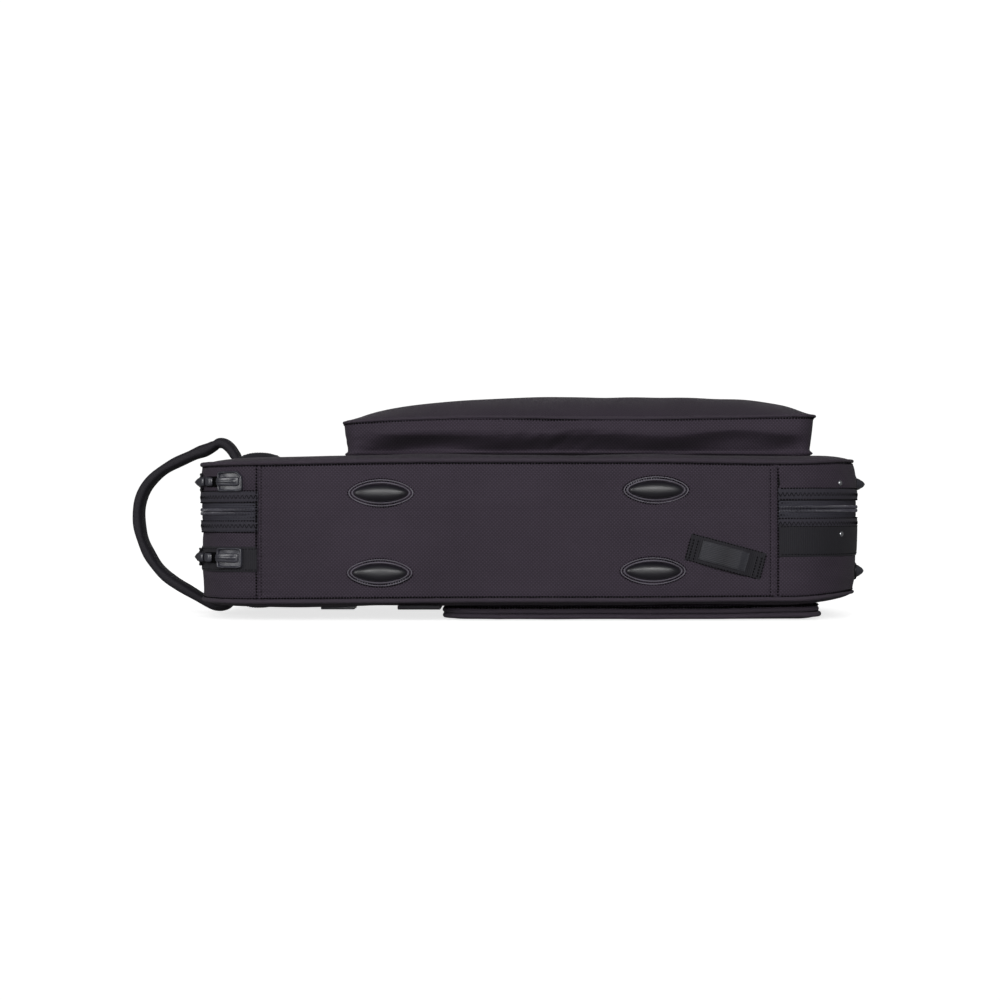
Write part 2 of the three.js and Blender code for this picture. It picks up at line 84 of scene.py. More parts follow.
# ---- Surfaces ----------------------------------------------------------------------------------
@dataclass
class Patch:
    """A run of four-sided faces with a place on the cloth, in millimetres, for each face corner."""

    points: Array  # (N, 3)
    faces: Array  # (F, 4)
    cloth: Array  # (F, 4, 2)

    @classmethod
    def grid(cls, points: Array, cloth: Array | None = None, flip: bool = False) -> "Patch":
        """Joins a grid of points into faces that look along columns cross rows.

        Args:
            points: (rows, columns, 3) places.
            cloth: (rows, columns, 2) places on the cloth, or None where no pattern follows the surface.
            flip: turn the faces the other way.

        Returns:
            The patch. Coinciding edges are merged when the piece is built.
        """
        rows, cols = points.shape[:2]
        index = np.arange(rows * cols).reshape(rows, cols)
        around = [index[:-1, :-1], index[:-1, 1:], index[1:, 1:], index[1:, :-1]]
        faces = np.stack(around[::-1] if flip else around, -1).reshape(-1, 4)
        flat = np.zeros((rows * cols, 2)) if cloth is None else cloth.reshape(-1, 2)
        return cls(points.reshape(-1, 3), faces, flat[faces])

    @classmethod
    def joined(cls, patches: "list[Patch]") -> "Patch":
        """All the patches as one.

        Args:
            patches: any number of patches.

        Returns:
            One patch of them all.
        """
        starts = np.cumsum([0] + [len(p.points) for p in patches[:-1]])
        return cls(
            np.concatenate([p.points for p in patches]),
            np.concatenate([p.faces + start for p, start in zip(patches, starts)]),
            np.concatenate([p.cloth for p in patches]),
        )


@dataclass
class Piece:
    """One visible piece: its surface, finish and the body that carries it.

    A wall above 0 gives an open surface that thickness, inwards. A closed piece has its faces turned
    outwards.
    """

    name: str
    patches: list[Patch]
    finish: "Finishes"
    body: str = ""
    stands_for: tuple[str, ...] = ()
    wall: float = 0.0
    closed: bool = True
    edge_degrees: float = 55.0

    def build(self) -> bpy.types.Object:
        """Makes the object, merges its seams and poles, and hands it to its body.

        Returns:
            The object.
        """
        patch = Patch.joined(self.patches)
        mesh = bpy.data.meshes.new(self.name)
        mesh.from_pydata(((patch.points + MAKER_TO_SHARED) * MM).tolist(), [], patch.faces.tolist())
        layer = mesh.uv_layers.new(name="cloth")
        layer.data.foreach_set("uv", patch.cloth.reshape(-1).astype(np.float32))
        tidy_mesh(mesh, turn_out=self.closed)
        mesh.set_sharp_from_angle(angle=math.radians(self.edge_degrees))
        obj = add_object(self.name, mesh)
        if self.wall:
            shell = obj.modifiers.new("cloth_thickness", "SOLIDIFY")
            shell.thickness, shell.offset, shell.use_even_offset = self.wall * MM, -1, True
        return settle(obj, self.finish, self.body, self.stands_for)


def add_object(name: str, data: bpy.types.ID) -> bpy.types.Object:
    """Puts a new object in the scene, at the origin.

    Args:
        name: of the object.
        data: its mesh, light or camera.

    Returns:
        The object.
    """
    obj = bpy.data.objects.new(name, data)
    bpy.context.scene.collection.objects.link(obj)
    return obj


def tidy_mesh(mesh: bpy.types.Mesh, turn_out: bool) -> None:
    """Merges coinciding points, turns a closed mesh's faces outwards and smooths it.

    Args:
        mesh: the mesh to change.
        turn_out: whether the mesh is closed and its faces are to be turned outwards.
    """
    work = bmesh.new()
    work.from_mesh(mesh)
    bmesh.ops.remove_doubles(work, verts=work.verts, dist=2e-6)
    if turn_out:
        bmesh.ops.recalc_face_normals(work, faces=work.faces)
    for face in work.faces:
        face.smooth = True
    work.to_mesh(mesh)
    work.free()


def settle(
    obj: bpy.types.Object, finish: "Finishes", body: str, stands_for: tuple[str, ...]
) -> bpy.types.Object:
    """Gives a piece its finish, the body that carries it and the nodes that it stands for.

    Args:
        obj: the piece.
        finish: what it is made of.
        body: the body that carries it, or nothing where it folds between two.
        stands_for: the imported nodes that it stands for.

    Returns:
        The piece.
    """
    obj.data.materials.clear()
    obj.data.materials.append(finish.value.material())
    if body:
        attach(obj, body)
    if stands_for:
        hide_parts(*stands_for)
    LOG.info("%s on %s, %d faces", obj.name, body or "a fold", len(obj.data.polygons))
    return obj


def smooth_step(x: Array, low: float, high: float) -> Array:
    """0 below low, 1 above high, and 3t^2 - 2t^3 in between."""
    t = np.clip((x - low) / (high - low), 0, 1)
    return t * t * (3 - 2 * t)


def soft_folds(points: Array, waves: tuple[float, float, float], seed: int, count: int = 14) -> Array:
    """Slack in cloth: the sum of plane waves in random directions, scaled to about -1 to 1.

    Args:
        points: (..., 3) places.
        waves: the typical wavelength along x, y and z.
        seed: picks the directions and phases.
        count: how many waves.

    Returns:
        The height at each point, as sum(cos(k . p + phase)) / sqrt(count / 2).
    """
    rng = np.random.default_rng(seed)
    k = rng.normal(0, 1, (count, 3)) * 2 * np.pi / np.array(waves)
    phase = rng.uniform(0, 2 * np.pi, count)
    return np.cos(points @ k.T + phase).sum(-1) / math.sqrt(count / 2)


def unit(v: Array) -> Array:
    """Each vector at length 1."""
    return v / np.maximum(np.linalg.norm(v, axis=-1, keepdims=True), 1e-12)


def distances(line: Array) -> Array:
    """The distance along a line at each of its points."""
    return np.concatenate([[0], np.cumsum(np.linalg.norm(np.diff(line, axis=0), axis=1))])


def sweep(path: Array, side: Array, profile: Array, closed_ends: bool = True) -> Patch:
    """Carries a closed profile along a path.

    Each ring is centre + a * side + b * (tangent cross side), for the profile's (a, b) at that station.

    Args:
        path: (N, 3) centre line.
        side: (N, 3) or (3,) direction of the profile's first axis.
        profile: (N, M, 2) or (M, 2) ring of (a, b), its first point repeated at its end.
        closed_ends: collapse a further ring onto each end's centre.

    Returns:
        The patch, with cloth running along the path and round the ring.
    """
    tangent = unit(np.gradient(path, axis=0))
    a_dir = np.broadcast_to(side, path.shape)
    a_dir = unit(a_dir - (a_dir * tangent).sum(-1, keepdims=True) * tangent)
    b_dir = np.cross(tangent, a_dir)
    ring = np.broadcast_to(profile, (len(path), *profile.shape[-2:]))
    points = path[:, None] + ring[..., :1] * a_dir[:, None] + ring[..., 1:] * b_dir[:, None]
    middle_ring = ring[len(ring) // 2]
    cloth = np.stack(np.meshgrid(distances(path), distances(middle_ring), indexing="ij"), -1)
    if closed_ends:
        caps = [np.broadcast_to(points[i, :-1].mean(0), points[0].shape) for i in (0, -1)]
        points = np.concatenate([caps[0][None], points, caps[1][None]])
        cloth = np.concatenate([cloth[:1], cloth, cloth[-1:]])
    return Patch.grid(points, cloth)


def superellipse(half_a: Array | float, half_b: Array | float, power: float, sides: int) -> Array:
    """The ring |a / half_a|^power + |b / half_b|^power = 1, for one or many stations.

    Args:
        half_a: half its size along the first axis.
        half_b: half its size along the second axis.
        power: 2 for an ellipse, and more for squarer corners.
        sides: how many sides the ring has.

    Returns:
        (sides + 1, 2) points, with a leading axis for many stations.
    """
    turn = np.linspace(0, 2 * np.pi, sides + 1)
    c, s = np.cos(turn), np.sin(turn)
    a, b = np.sign(c) * abs(c) ** (2 / power), np.sign(s) * abs(s) ** (2 / power)
    half_a, half_b = np.atleast_1d(half_a)[:, None], np.atleast_1d(half_b)[:, None]
    return np.squeeze(np.stack([half_a * a, half_b * b], -1))


def thread(starts: Array, ends: Array, normals: Array, radius: float = 0.36) -> Patch:
    """Stitches as bowed spindles from each start to each end.

    A point is the middle + a * half the length along the stitch, with a ring of
    radius * sqrt(1 - 0.8 a^2) round it that sinks by 0.5 a^4 into the cloth at both ends.

    Args:
        starts: (K, 3) where the thread comes up.
        ends: (K, 3) where it goes down.
        normals: (K, 3) out of the cloth.
        radius: of the thread.

    Returns:
        One patch for all the stitches.
    """
    a = np.array([-1.0, -0.8, 0.0, 0.8, 1.0])
    turn = np.linspace(0, 2 * np.pi, 5)
    middle, half = (starts + ends) / 2, (ends - starts) / 2
    along, out = unit(half), unit(normals)
    across = np.cross(along, out)
    taper = radius * np.sqrt(1 - 0.8 * a**2)
    taper[[0, -1]] = 0
    ring = (
        np.cos(turn)[None, None, :, None] * out[:, None, None]
        + np.sin(turn)[None, None, :, None] * across[:, None, None]
    )
    spine = middle[:, None] + a[None, :, None] * half[:, None] - 0.5 * (a**4)[None, :, None] * out[:, None]
    points = spine[:, :, None] + taper[None, :, None, None] * ring
    count, rows, cols = points.shape[:3]
    one = Patch.grid(points[0]).faces
    faces = (one[None] + (np.arange(count) * rows * cols)[:, None, None]).reshape(-1, 4)
    return Patch(points.reshape(-1, 3), faces, np.zeros((len(faces), 4, 2)))


def topstitch(
    path: Array, normals: Array, pitch: float = 3.2, gap: float = 0.7, radius: float = 0.4
) -> Patch:
    """A row of stitches along a path, each pitch - gap long.

    Args:
        path: (N, 3) places along the row.
        normals: (N, 3) or (3,) out of the cloth.
        pitch: from one stitch to the next.
        gap: between two stitches.
        radius: of the thread.

    Returns:
        One patch for the row.
    """
    s = distances(path)
    normals = np.broadcast_to(normals, path.shape)
    marks = np.arange(pitch / 2, s[-1] - pitch / 2, pitch)

    def at(values: Array, where: Array) -> Array:
        """The values at distances along the path."""
        return np.stack([np.interp(where, s, values[:, i]) for i in range(3)], -1)

    half = (pitch - gap) / 2
    return thread(at(path, marks - half), at(path, marks + half), at(normals, marks), radius)


# ---- Routes round a rounded panel --------------------------------------------------------------
@dataclass(frozen=True)
class Outline:
    """A rounded panel seen from the front.

    Distances along it start at x = 0 on the near side and go to the left.
    """

    left: float
    right: float
    near: float
    far: float
    left_radius: float
    right_radius: float

    def dense(self) -> tuple[Array, Array]:
        """The outline and its outward normal at steps of about 1 mm, ending where it starts.

        Straight runs are linear, and each corner is centre + radius * (cos, sin) over a quarter turn.

        Returns:
            (places, normals), each (N, 2).
        """
        rl, rr = self.left_radius, self.right_radius
        cl, cr = self.left + rl, self.right - rr
        runs = [
            ("line", (0, self.near), (cl, self.near), (0, -1)),
            ("turn", (cl, self.near + rl), rl, (-90, -180)),
            ("line", (self.left, self.near + rl), (self.left, self.far - rl), (-1, 0)),
            ("turn", (cl, self.far - rl), rl, (180, 90)),
            ("line", (cl, self.far), (cr, self.far), (0, 1)),
            ("turn", (cr, self.far - rr), rr, (90, 0)),
            ("line", (self.right, self.far - rr), (self.right, self.near + rr), (1, 0)),
            ("turn", (cr, self.near + rr), rr, (0, -90)),
            ("line", (cr, self.near), (0, self.near), (0, -1)),
        ]
        places, normals = [], []
        for kind, start, middle, last in runs:
            if kind == "line":
                t = np.linspace(0, 1, 200, endpoint=False)[:, None]
                places.append(np.array(start) * (1 - t) + np.array(middle) * t)
                normals.append(np.broadcast_to(np.array(last, float), (200, 2)))
            else:
                turn = np.radians(np.linspace(last[0], last[1], 140, endpoint=False))
                out = np.stack([np.cos(turn), np.sin(turn)], -1)
                places.append(np.array(start) + middle * out)
                normals.append(out)
        places, normals = np.concatenate(places), np.concatenate(normals)
        return np.vstack([places, places[:1]]), np.vstack([normals, normals[:1]])

    def route(self) -> "Route":
        """This outline as a route that can be asked for any distance."""
        places, normals = self.dense()
        return Route(places, normals)

    def depth(self, x: Array, y: Array) -> Array:
        """Distance in from the edge: the rounded-box distance, with the radius of the nearer end.

        Args:
            x: places along the case.
            y: places from the underside to the top.

        Returns:
            The distance in, below 0 outside the outline.
        """
        middle_x, middle_y = (self.left + self.right) / 2, (self.near + self.far) / 2
        r = np.where(x < middle_x, self.left_radius, self.right_radius)
        qx = abs(x - middle_x) - ((self.right - self.left) / 2 - r)
        qy = abs(y - middle_y) - ((self.far - self.near) / 2 - r)
        outside = np.hypot(np.maximum(qx, 0), np.maximum(qy, 0))
        return r - outside - np.minimum(np.maximum(qx, qy), 0)


@dataclass
class Route:
    """A closed line round a panel, with its outward normals."""

    places: Array
    normals: Array
    s: Array = field(init=False)

    def __post_init__(self) -> None:
        """Measures the distance along the line."""
        self.s = distances(self.places)

    @property
    def length(self) -> float:
        """Once round."""
        return float(self.s[-1])

    def at(self, s: Array) -> tuple[Array, Array]:
        """(places, normals) at distances along the line, each (N, 2).

        Args:
            s: (N,) distances along the line.

        Returns:
            (places, normals), each (N, 2).
        """
        s = np.mod(s, self.length)
        lines = self.places, self.normals
        place, normal = (np.stack([np.interp(s, self.s, v[:, i]) for i in (0, 1)], -1) for v in lines)
        return place, unit(normal)

    def wall(self, s: Array, z: Array, out: Array, flip: bool = False) -> Patch:
        """A wall that stands on the route: place + normal * out, at height z.

        Args:
            s: (N,) distances along the route.
            z: (N, M) heights.
            out: (N, M) distance out from the route.
            flip: face inwards.

        Returns:
            The patch, with cloth along s and z.
        """
        place, normal = self.at(s)
        xy = place[:, None] + normal[:, None] * out[..., None]
        points = np.concatenate([xy, z[..., None]], -1)
        cloth = np.stack([np.broadcast_to(s[:, None], z.shape), z], -1)
        return Patch.grid(points, cloth, flip)

    def line(self, s: Array, z: Array | float, out: Array | float) -> tuple[Array, Array]:
        """(points, normals), each (N, 3), of a line on such a wall.

        Args:
            s: (N,) distances along the route.
            z: its height.
            out: its distance out from the route.

        Returns:
            (points, normals), each (N, 3).
        """
        place, normal = self.at(s)
        z = np.broadcast_to(z, s.shape)
        xy = place + normal * np.broadcast_to(out, s.shape)[:, None]
        return np.column_stack([xy, z]), np.column_stack([normal, np.zeros(len(s))])

    def ring(self, step: float) -> Array:
        """Distances once round, both ends included."""
        return np.linspace(0, self.length, int(self.length / step) + 1)

    def cap(
        self,
        out: Callable[[Array], Array],
        height: Callable[[Array, Array], Array],
        up: bool,
        rings: int = 44,
    ) -> Patch:
        """A cover over the route: the route drawn in to its middle, place = middle + t * (edge - middle).

        Args:
            out: how far out from the route the edge lies, from x.
            height: z from x and y.
            up: face towards +z.
            rings: how many steps from the middle to the edge, closer together at the edge.

        Returns:
            The patch, its cloth laid flat in x and y.
        """
        place, normal = self.at(self.ring(4.0))
        edge = place + normal * np.broadcast_to(out(place[:, 0]), len(place))[:, None]
        middle = (edge.min(0) + edge.max(0)) / 2
        t = np.sin(np.linspace(0, np.pi / 2, rings))[:, None, None]
        xy = middle + t * (edge - middle)
        points = np.concatenate([xy, height(xy[..., 0], xy[..., 1])[..., None]], -1)
        return Patch.grid(points, xy, flip=not up)


# ---- Finishes ----------------------------------------------------------------------------------
NodeMaker = Callable[..., bpy.types.ShaderNode]
Sockets = tuple[bpy.types.NodeSocket, bpy.types.NodeSocket, bpy.types.NodeSocket]
# Most of a noise lies between these values, and is spread from here over a finish's whole range.
NOISE_RANGE = {"From Min": 0.3, "From Max": 0.7}


def linear(hex_colour: str) -> tuple[float, float, float, float]:
    """An sRGB hex colour as linear red, green, blue and alpha."""
    channels = [int(hex_colour[i : i + 2], 16) / 255 for i in (1, 3, 5)]
    return tuple(c / 12.92 if c <= 0.04045 else ((c + 0.055) / 1.055) ** 2.4 for c in channels) + (1.0,)


def add_node(
    tree: bpy.types.NodeTree, kind: str, inputs: dict | None = None, **settings: object
) -> bpy.types.ShaderNode:
    """Adds a shader node, sets its properties, and links or sets its inputs.

    Args:
        tree: the material's nodes.
        kind: the node's type name, after ShaderNode.
        inputs: input name or number to a value, or to the output socket that feeds it.
        **settings: the node's own properties.

    Returns:
        The node.
    """
    node = tree.nodes.new("ShaderNode" + kind)
    for name, value in settings.items():
        setattr(node, name, value)
    for name, value in (inputs or {}).items():
        if isinstance(value, bpy.types.NodeSocket):
            tree.links.new(value, node.inputs[name])
        else:
            node.inputs[name].default_value = value
    return node


class Slot(Enum):
    """The record's slots, one for each kind of material."""

    NYLON = "nylon"
    WEBBING = "webbing"
    GLOSS = "gloss"
    ZIP = "zip"
    LINING = "lining"
    BOARD = "board"
    METAL = "metal"


@dataclass(frozen=True)
class Finish:
    """What a surface is made of. Each kind has its own pattern of shade, grain and relief."""

    name: str
    slot: Slot
    colour: str
    roughness: float
    sheen: float = 0.0
    specular: float = 0.5
    metallic: float = 0.0
    coat: float = 0.0
    tint: tuple[float, float] = (0.82, 1.2)  # the colour's strength at the pattern's darkest and palest
    relief: float = 0.03

    def material(self) -> bpy.types.Material:
        """The material, made once."""
        found = bpy.data.materials.get(self.name)
        return found or self.make()

    def make(self) -> bpy.types.Material:
        """Builds the node tree: the pattern drives a Principled shader's colour, roughness and relief.

        Returns:
            The material.
        """
        material = bpy.data.materials.new(self.name)
        material.use_nodes = True
        material.node_tree.nodes.clear()
        node = partial(add_node, material.node_tree)
        shade, grain, height = self.pattern(node)
        red, green, blue, _ = linear(self.colour)
        dark, pale = ((red * k, green * k, blue * k, 1.0) for k in self.tint)
        share = node("MapRange", {"Value": shade, **NOISE_RANGE})
        mix = node("Mix", {0: share.outputs[0], 6: dark, 7: pale}, data_type="RGBA")
        rough = node("MapRange", {
            "Value": grain, **NOISE_RANGE, "To Min": self.roughness - 0.07,
            "To Max": min(1.0, self.roughness + 0.08)})
        bump = node("Bump", {"Strength": 1.0, "Distance": self.relief * MM, "Height": height})
        shader = node("BsdfPrincipled", {
            "Base Color": mix.outputs[2], "Roughness": rough.outputs[0],
            "Normal": bump.outputs["Normal"], "Metallic": self.metallic,
            "Specular IOR Level": self.specular, "Sheen Weight": self.sheen, "Sheen Roughness": 0.45,
            "Coat Weight": self.coat, "Coat Roughness": 0.15})
        node("OutputMaterial", {"Surface": shader.outputs["BSDF"]})
        return material

    def pattern(self, node: NodeMaker) -> Sockets:
        """The fine grain of a moulding or a casting: noise of about 1 mm, and of 20 mm for the shade.

        Args:
            node: adds a node to the material.

        Returns:
            The (shade, grain, height) sockets, each about 0 to 1.
        """
        place = node("TexCoord").outputs["Object"]
        grain = node("TexNoise", {"Vector": place, "Scale": 900.0, "Detail": 3.0})
        cloud = node("TexNoise", {"Vector": place, "Scale": 45.0, "Detail": 4.0})
        return cloud.outputs["Fac"], cloud.outputs["Fac"], grain.outputs["Fac"]


@dataclass(frozen=True)
class WovenCloth(Finish):
    """Basket weave: round yarns that pass over and under each other, drawn on the cloth's own map.

    The real yarn groups are 0.9 mm wide. They are drawn coarser, so that a whole case still shows them.
    """

    tint: tuple[float, float] = (0.5, 1.5)
    relief: float = 0.34
    width: float = 1.8

    def pattern(self, node: NodeMaker) -> Sockets:
        """The height is |sin| across whichever yarn is on top, and a checker says which one is.

        Warp yarns are a shade paler than weft ones; each yarn darkens where it dives under, as painted
        shade.

        Args:
            node: adds a node to the material.

        Returns:
            The (shade, grain, height) sockets, each about 0 to 1.
        """
        cloth = node("UVMap", uv_map="cloth").outputs["UV"]
        size = (1 / self.width, 1 / self.width, 1)
        yarns = node("Mapping", {"Vector": cloth, "Scale": size}).outputs["Vector"]
        turns = node("VectorMath", {0: yarns, 1: (math.pi,) * 3}, operation="MULTIPLY")
        waves = node("VectorMath", {0: turns.outputs[0]}, operation="SINE")
        round_ = node("VectorMath", {0: waves.outputs[0]}, operation="ABSOLUTE")
        part = node("SeparateXYZ", {"Vector": round_.outputs[0]})
        over = node("TexChecker", {"Vector": yarns, "Scale": 1.0}).outputs["Fac"]
        yarn = node("Mix", {0: over, 2: part.outputs[1], 3: part.outputs[0]}).outputs[0]
        fibre = node("TexNoise", {"Vector": yarns, "Scale": 1.9, "Detail": 3.0}).outputs["Fac"]
        place = node("TexCoord").outputs["Object"]
        cloud = node("TexNoise", {"Vector": place, "Scale": 11.0, "Detail": 5.0}).outputs["Fac"]
        wear = node("Mix", {0: 0.4, 2: fibre, 3: cloud}).outputs[0]
        mixed = node("CombineXYZ", {0: over, 1: yarn, 2: wear}).outputs[0]
        # The yarn term darkens the colour in the weave's dips: painted shade.
        shade = node("VectorMath", {0: mixed, 1: (0.2, 0.25, 0.5)}, operation="DOT_PRODUCT")
        height = node("Mix", {0: 0.3, 2: yarn, 3: fibre}).outputs[0]
        return shade.outputs["Value"], fibre, height


@dataclass(frozen=True)
class RibbedWebbing(Finish):
    """Webbing: ribs across the band every few millimetres, and fine warp yarns along it."""

    tint: tuple[float, float] = (0.62, 1.45)
    relief: float = 0.34
    rib: float = 1.9
    yarn: float = 1.0

    def pattern(self, node: NodeMaker) -> Sockets:
        """The height is |sin| along the band for the ribs plus |sin| across it for the yarns.

        Args:
            node: adds a node to the material.

        Returns:
            The (shade, grain, height) sockets, each about 0 to 1.
        """
        cloth = node("UVMap", uv_map="cloth").outputs["UV"]
        size = (math.pi / self.rib, math.pi / self.yarn, 1)
        turns = node("Mapping", {"Vector": cloth, "Scale": size}).outputs["Vector"]
        waves = node("VectorMath", {0: turns}, operation="SINE").outputs[0]
        round_ = node("VectorMath", {0: waves}, operation="ABSOLUTE").outputs[0]
        part = node("SeparateXYZ", {"Vector": round_})
        fibre = node("TexNoise", {"Vector": cloth, "Scale": 0.9, "Detail": 4.0}).outputs["Fac"]
        mixed = node("CombineXYZ", {0: part.outputs[0], 1: part.outputs[1], 2: fibre}).outputs[0]
        # The rib and yarn terms darken the colour in the dips between them: painted shade.
        shade = node("VectorMath", {0: mixed, 1: (0.22, 0.16, 0.5)}, operation="DOT_PRODUCT")
        height = node("Mix", {0: 0.4, 2: part.outputs[0], 3: part.outputs[1]}).outputs[0]
        return shade.outputs["Value"], fibre, height


@dataclass(frozen=True)
class BrushedPile(Finish):
    """Short brushed pile: soft clumps and no threads."""

    tint: tuple[float, float] = (0.7, 1.4)
    relief: float = 0.35

    def pattern(self, node: NodeMaker) -> Sockets:
        """Noise at 1 mm for the pile, and at 25 mm for where it has been stroked.

        Args:
            node: adds a node to the material.

        Returns:
            The (shade, grain, height) sockets, each about 0 to 1.
        """
        place = node("TexCoord").outputs["Object"]
        pile = node("TexNoise", {"Vector": place, "Scale": 1100.0, "Detail": 2.0}).outputs["Fac"]
        nap = node("TexNoise", {"Vector": place, "Scale": 40.0, "Detail": 5.0}).outputs["Fac"]
        return node("Mix", {0: 0.6, 2: pile, 3: nap}).outputs[0], pile, pile


@dataclass(frozen=True)
class PressedBoard(Finish):
    """Laminated board: long fibres along the case and darker flecks."""

    tint: tuple[float, float] = (0.6, 1.3)
    relief: float = 0.12

    def pattern(self, node: NodeMaker) -> Sockets:
        """Noise drawn out ten times along x for the fibres, and rounder noise for the flecks.

        Args:
            node: adds a node to the material.

        Returns:
            The (shade, grain, height) sockets, each about 0 to 1.
        """
        place = node("TexCoord").outputs["Object"]
        drawn = node("Mapping", {"Vector": place, "Scale": (60.0, 600.0, 600.0)}).outputs[0]
        fibre = node("TexNoise", {"Vector": drawn, "Scale": 1.0, "Detail": 6.0}).outputs["Fac"]
        fleck = node("TexNoise", {"Vector": place, "Scale": 260.0, "Detail": 3.0}).outputs["Fac"]
        return node("Mix", {0: 0.3, 2: fibre, 3: fleck}).outputs[0], fleck, fibre


class Finishes(Enum):
    """Every finish on the case, named for what it is made of."""

    # Coarse nylon yarn in a basket weave: a dull, slightly purple black that glitters a little at each yarn.
    NYLON = WovenCloth("ballistic_nylon", Slot.NYLON, "#38303b", 0.72, sheen=0.06, specular=0.32)
    # The same cloth round a cord, where the weave closes up and the edge rubs lighter.
    NYLON_PIPING = WovenCloth(
        "nylon_piping", Slot.NYLON, "#3d3540", 0.6, sheen=0.06, specular=0.45, width=0.9
    )
    # Woven polyester tape: a cooler, flatter black with ribs.
    WEBBING = RibbedWebbing("polyester_webbing", Slot.WEBBING, "#252429", 0.7, sheen=0.05, specular=0.35)
    # Smooth grosgrain over foam, seen as a dark even band.
    STRAP = RibbedWebbing(
        "padded_strap_cover", Slot.WEBBING, "#242228", 0.62, sheen=0.04, specular=0.35, rib=1.4, relief=0.2
    )
    # Ribbed satin tape: smoother than the webbing under it, so it shines where it stands proud.
    SATIN = RibbedWebbing(
        "satin_ribbon", Slot.WEBBING, "#29292f", 0.5, sheen=0.06, specular=0.5, rib=40.0, yarn=1.7,
        relief=0.5,
    )
    # Soft woven tape that binds the edges beside the zip.
    BINDING = RibbedWebbing(
        "binding_tape", Slot.NYLON, "#34323a", 0.72, sheen=0.05, specular=0.3, rib=1.6, yarn=1.6
    )
    # Fine, tight tape beside the coil.
    ZIP_TAPE = RibbedWebbing(
        "zip_tape", Slot.ZIP, "#32313a", 0.6, specular=0.4, rib=0.9, yarn=2.2, relief=0.3
    )
    # Drawn nylon line: glossy enough to catch a bright edge on every turn, and coloured paler grey than
    # black nylon as painted highlight.
    COIL = Finish("nylon_coil_painted_highlight", Slot.ZIP, "#4d4c55", 0.32, specular=0.7)
    # Bonded polyester thread, coloured near black: the thread itself, and painted shade for the seam creases
    # it lies in.
    THREAD_AND_SEAM_SHADE = Finish("thread_and_painted_seam_shade", Slot.NYLON, "#0b090c", 0.75, specular=0.15)
    # Polished moulded rubber-like plastic: black, with one long soft highlight.
    FOOT = Finish("polished_moulded_tpr", Slot.GLOSS, "#121018", 0.4, specular=1.0, coat=0.1)
    # Thin moulded welt with a satin gloss, coloured pale grey as painted highlight on its raised lips.
    WELT_PAINTED_HIGHLIGHT = Finish("welt_with_painted_highlight", Slot.GLOSS, "#726e78", 0.36, specular=0.6)
    # Injection-moulded nylon plastic: a pale grey sheen on every flat and edge.
    MOULDED = Finish("moulded_nylon_plastic", Slot.GLOSS, "#36363e", 0.32, specular=0.9, coat=0.3)
    # Painted shade: a near-black pad that stands for the unlit depth of each gap in a moulding.
    SLOT_SHADE = Finish("painted_anchor_gap_shade", Slot.GLOSS, "#060607", 0.9, specular=0.1)
    # Black-lacquered zinc: dark mirror, rounded highlights.
    LACQUERED = Finish("lacquered_zinc", Slot.METAL, "#3a3a3e", 0.28, metallic=0.7)
    # Plain nickel: the bright dot of a rivet's head.
    NICKEL = Finish("nickel_plated_steel", Slot.METAL, "#d9dbe0", 0.25, metallic=1.0)
    # Brushed tricot on foam: soft, deep, no gloss.
    LINING = BrushedPile("brushed_tricot", Slot.LINING, "#4a4a50", 0.9, sheen=0.35, specular=0.1)
    # Thin board at the tray's edge.
    BOARD = PressedBoard("laminated_board", Slot.BOARD, "#222124", 0.8, specular=0.25)


# ---- The case's shape --------------------------------------------------------------------------
CASE = Outline(left=-308, right=374, near=0, far=300, left_radius=64, right_radius=84)
FRONT_POCKET = Outline(left=-158, right=320, near=30, far=265, left_radius=18, right_radius=18)
BACK_POCKET = Outline(left=-56, right=326, near=24, far=262, left_radius=22, right_radius=22)
SEAM_LEFT, SEAM_RIGHT = -242.0, 278.0
SPLIT = 112.0
PIPING = 2.3
_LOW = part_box("base_gusset_cover")[0]
MAKER_TO_SHARED = np.array([_LOW.x / MM - CASE.left, _LOW.y / MM - CASE.near, 0.0])
FACE = Outline(left=-307, right=369.5, near=0, far=300, left_radius=64, right_radius=82)
ROUTE = CASE.route()
LEFT_CORNER = -(CASE.left + CASE.left_radius)  # from x = 0, where the corners start
RIGHT_CORNER = CASE.right - CASE.right_radius


def shared(x: float, y: float, z: float) -> tuple[float, float, float]:
    """A point of the maker's frame, in metres in the shared frame."""
    return tuple(float(v) for v in (np.array([x, y, z]) + MAKER_TO_SHARED) * MM)


def front_edge(x: Array) -> Array:
    """Height of the front piping: 161.7, less 3.2 at the left end, and dipping before the right one."""
    right = -1.6 * smooth_step(x, 150, 285) + 2.6 * smooth_step(x, 290, 374)
    return 161.7 - 3.2 * smooth_step(-x, 60, 308) + right


def back_edge(x: Array) -> Array:
    """Height of the back piping: 21.8, less 1.6 at the left end, and turned up by 5.3 at the right."""
    right = 0.9 * smooth_step(x, 100, 280) + 4.4 * smooth_step(x, 290, 374)
    return 21.8 - 1.6 * smooth_step(-x, -20, 280) + right


def zip_line(x: Array) -> Array:
    """Height of the zip: it climbs 3 mm from the left end to the right end."""
    return SPLIT - 1.8 + 3.2 * (x - CASE.left) / (CASE.right - CASE.left)


def belt_line(x: Array) -> Array:
    """Middle of the webbing belt: from 62.5 at the left corners to 81.5 at the right ones."""
    share = (np.clip(x, -LEFT_CORNER, RIGHT_CORNER) + LEFT_CORNER) / (RIGHT_CORNER + LEFT_CORNER)
    return 62.5 + 19.0 * share


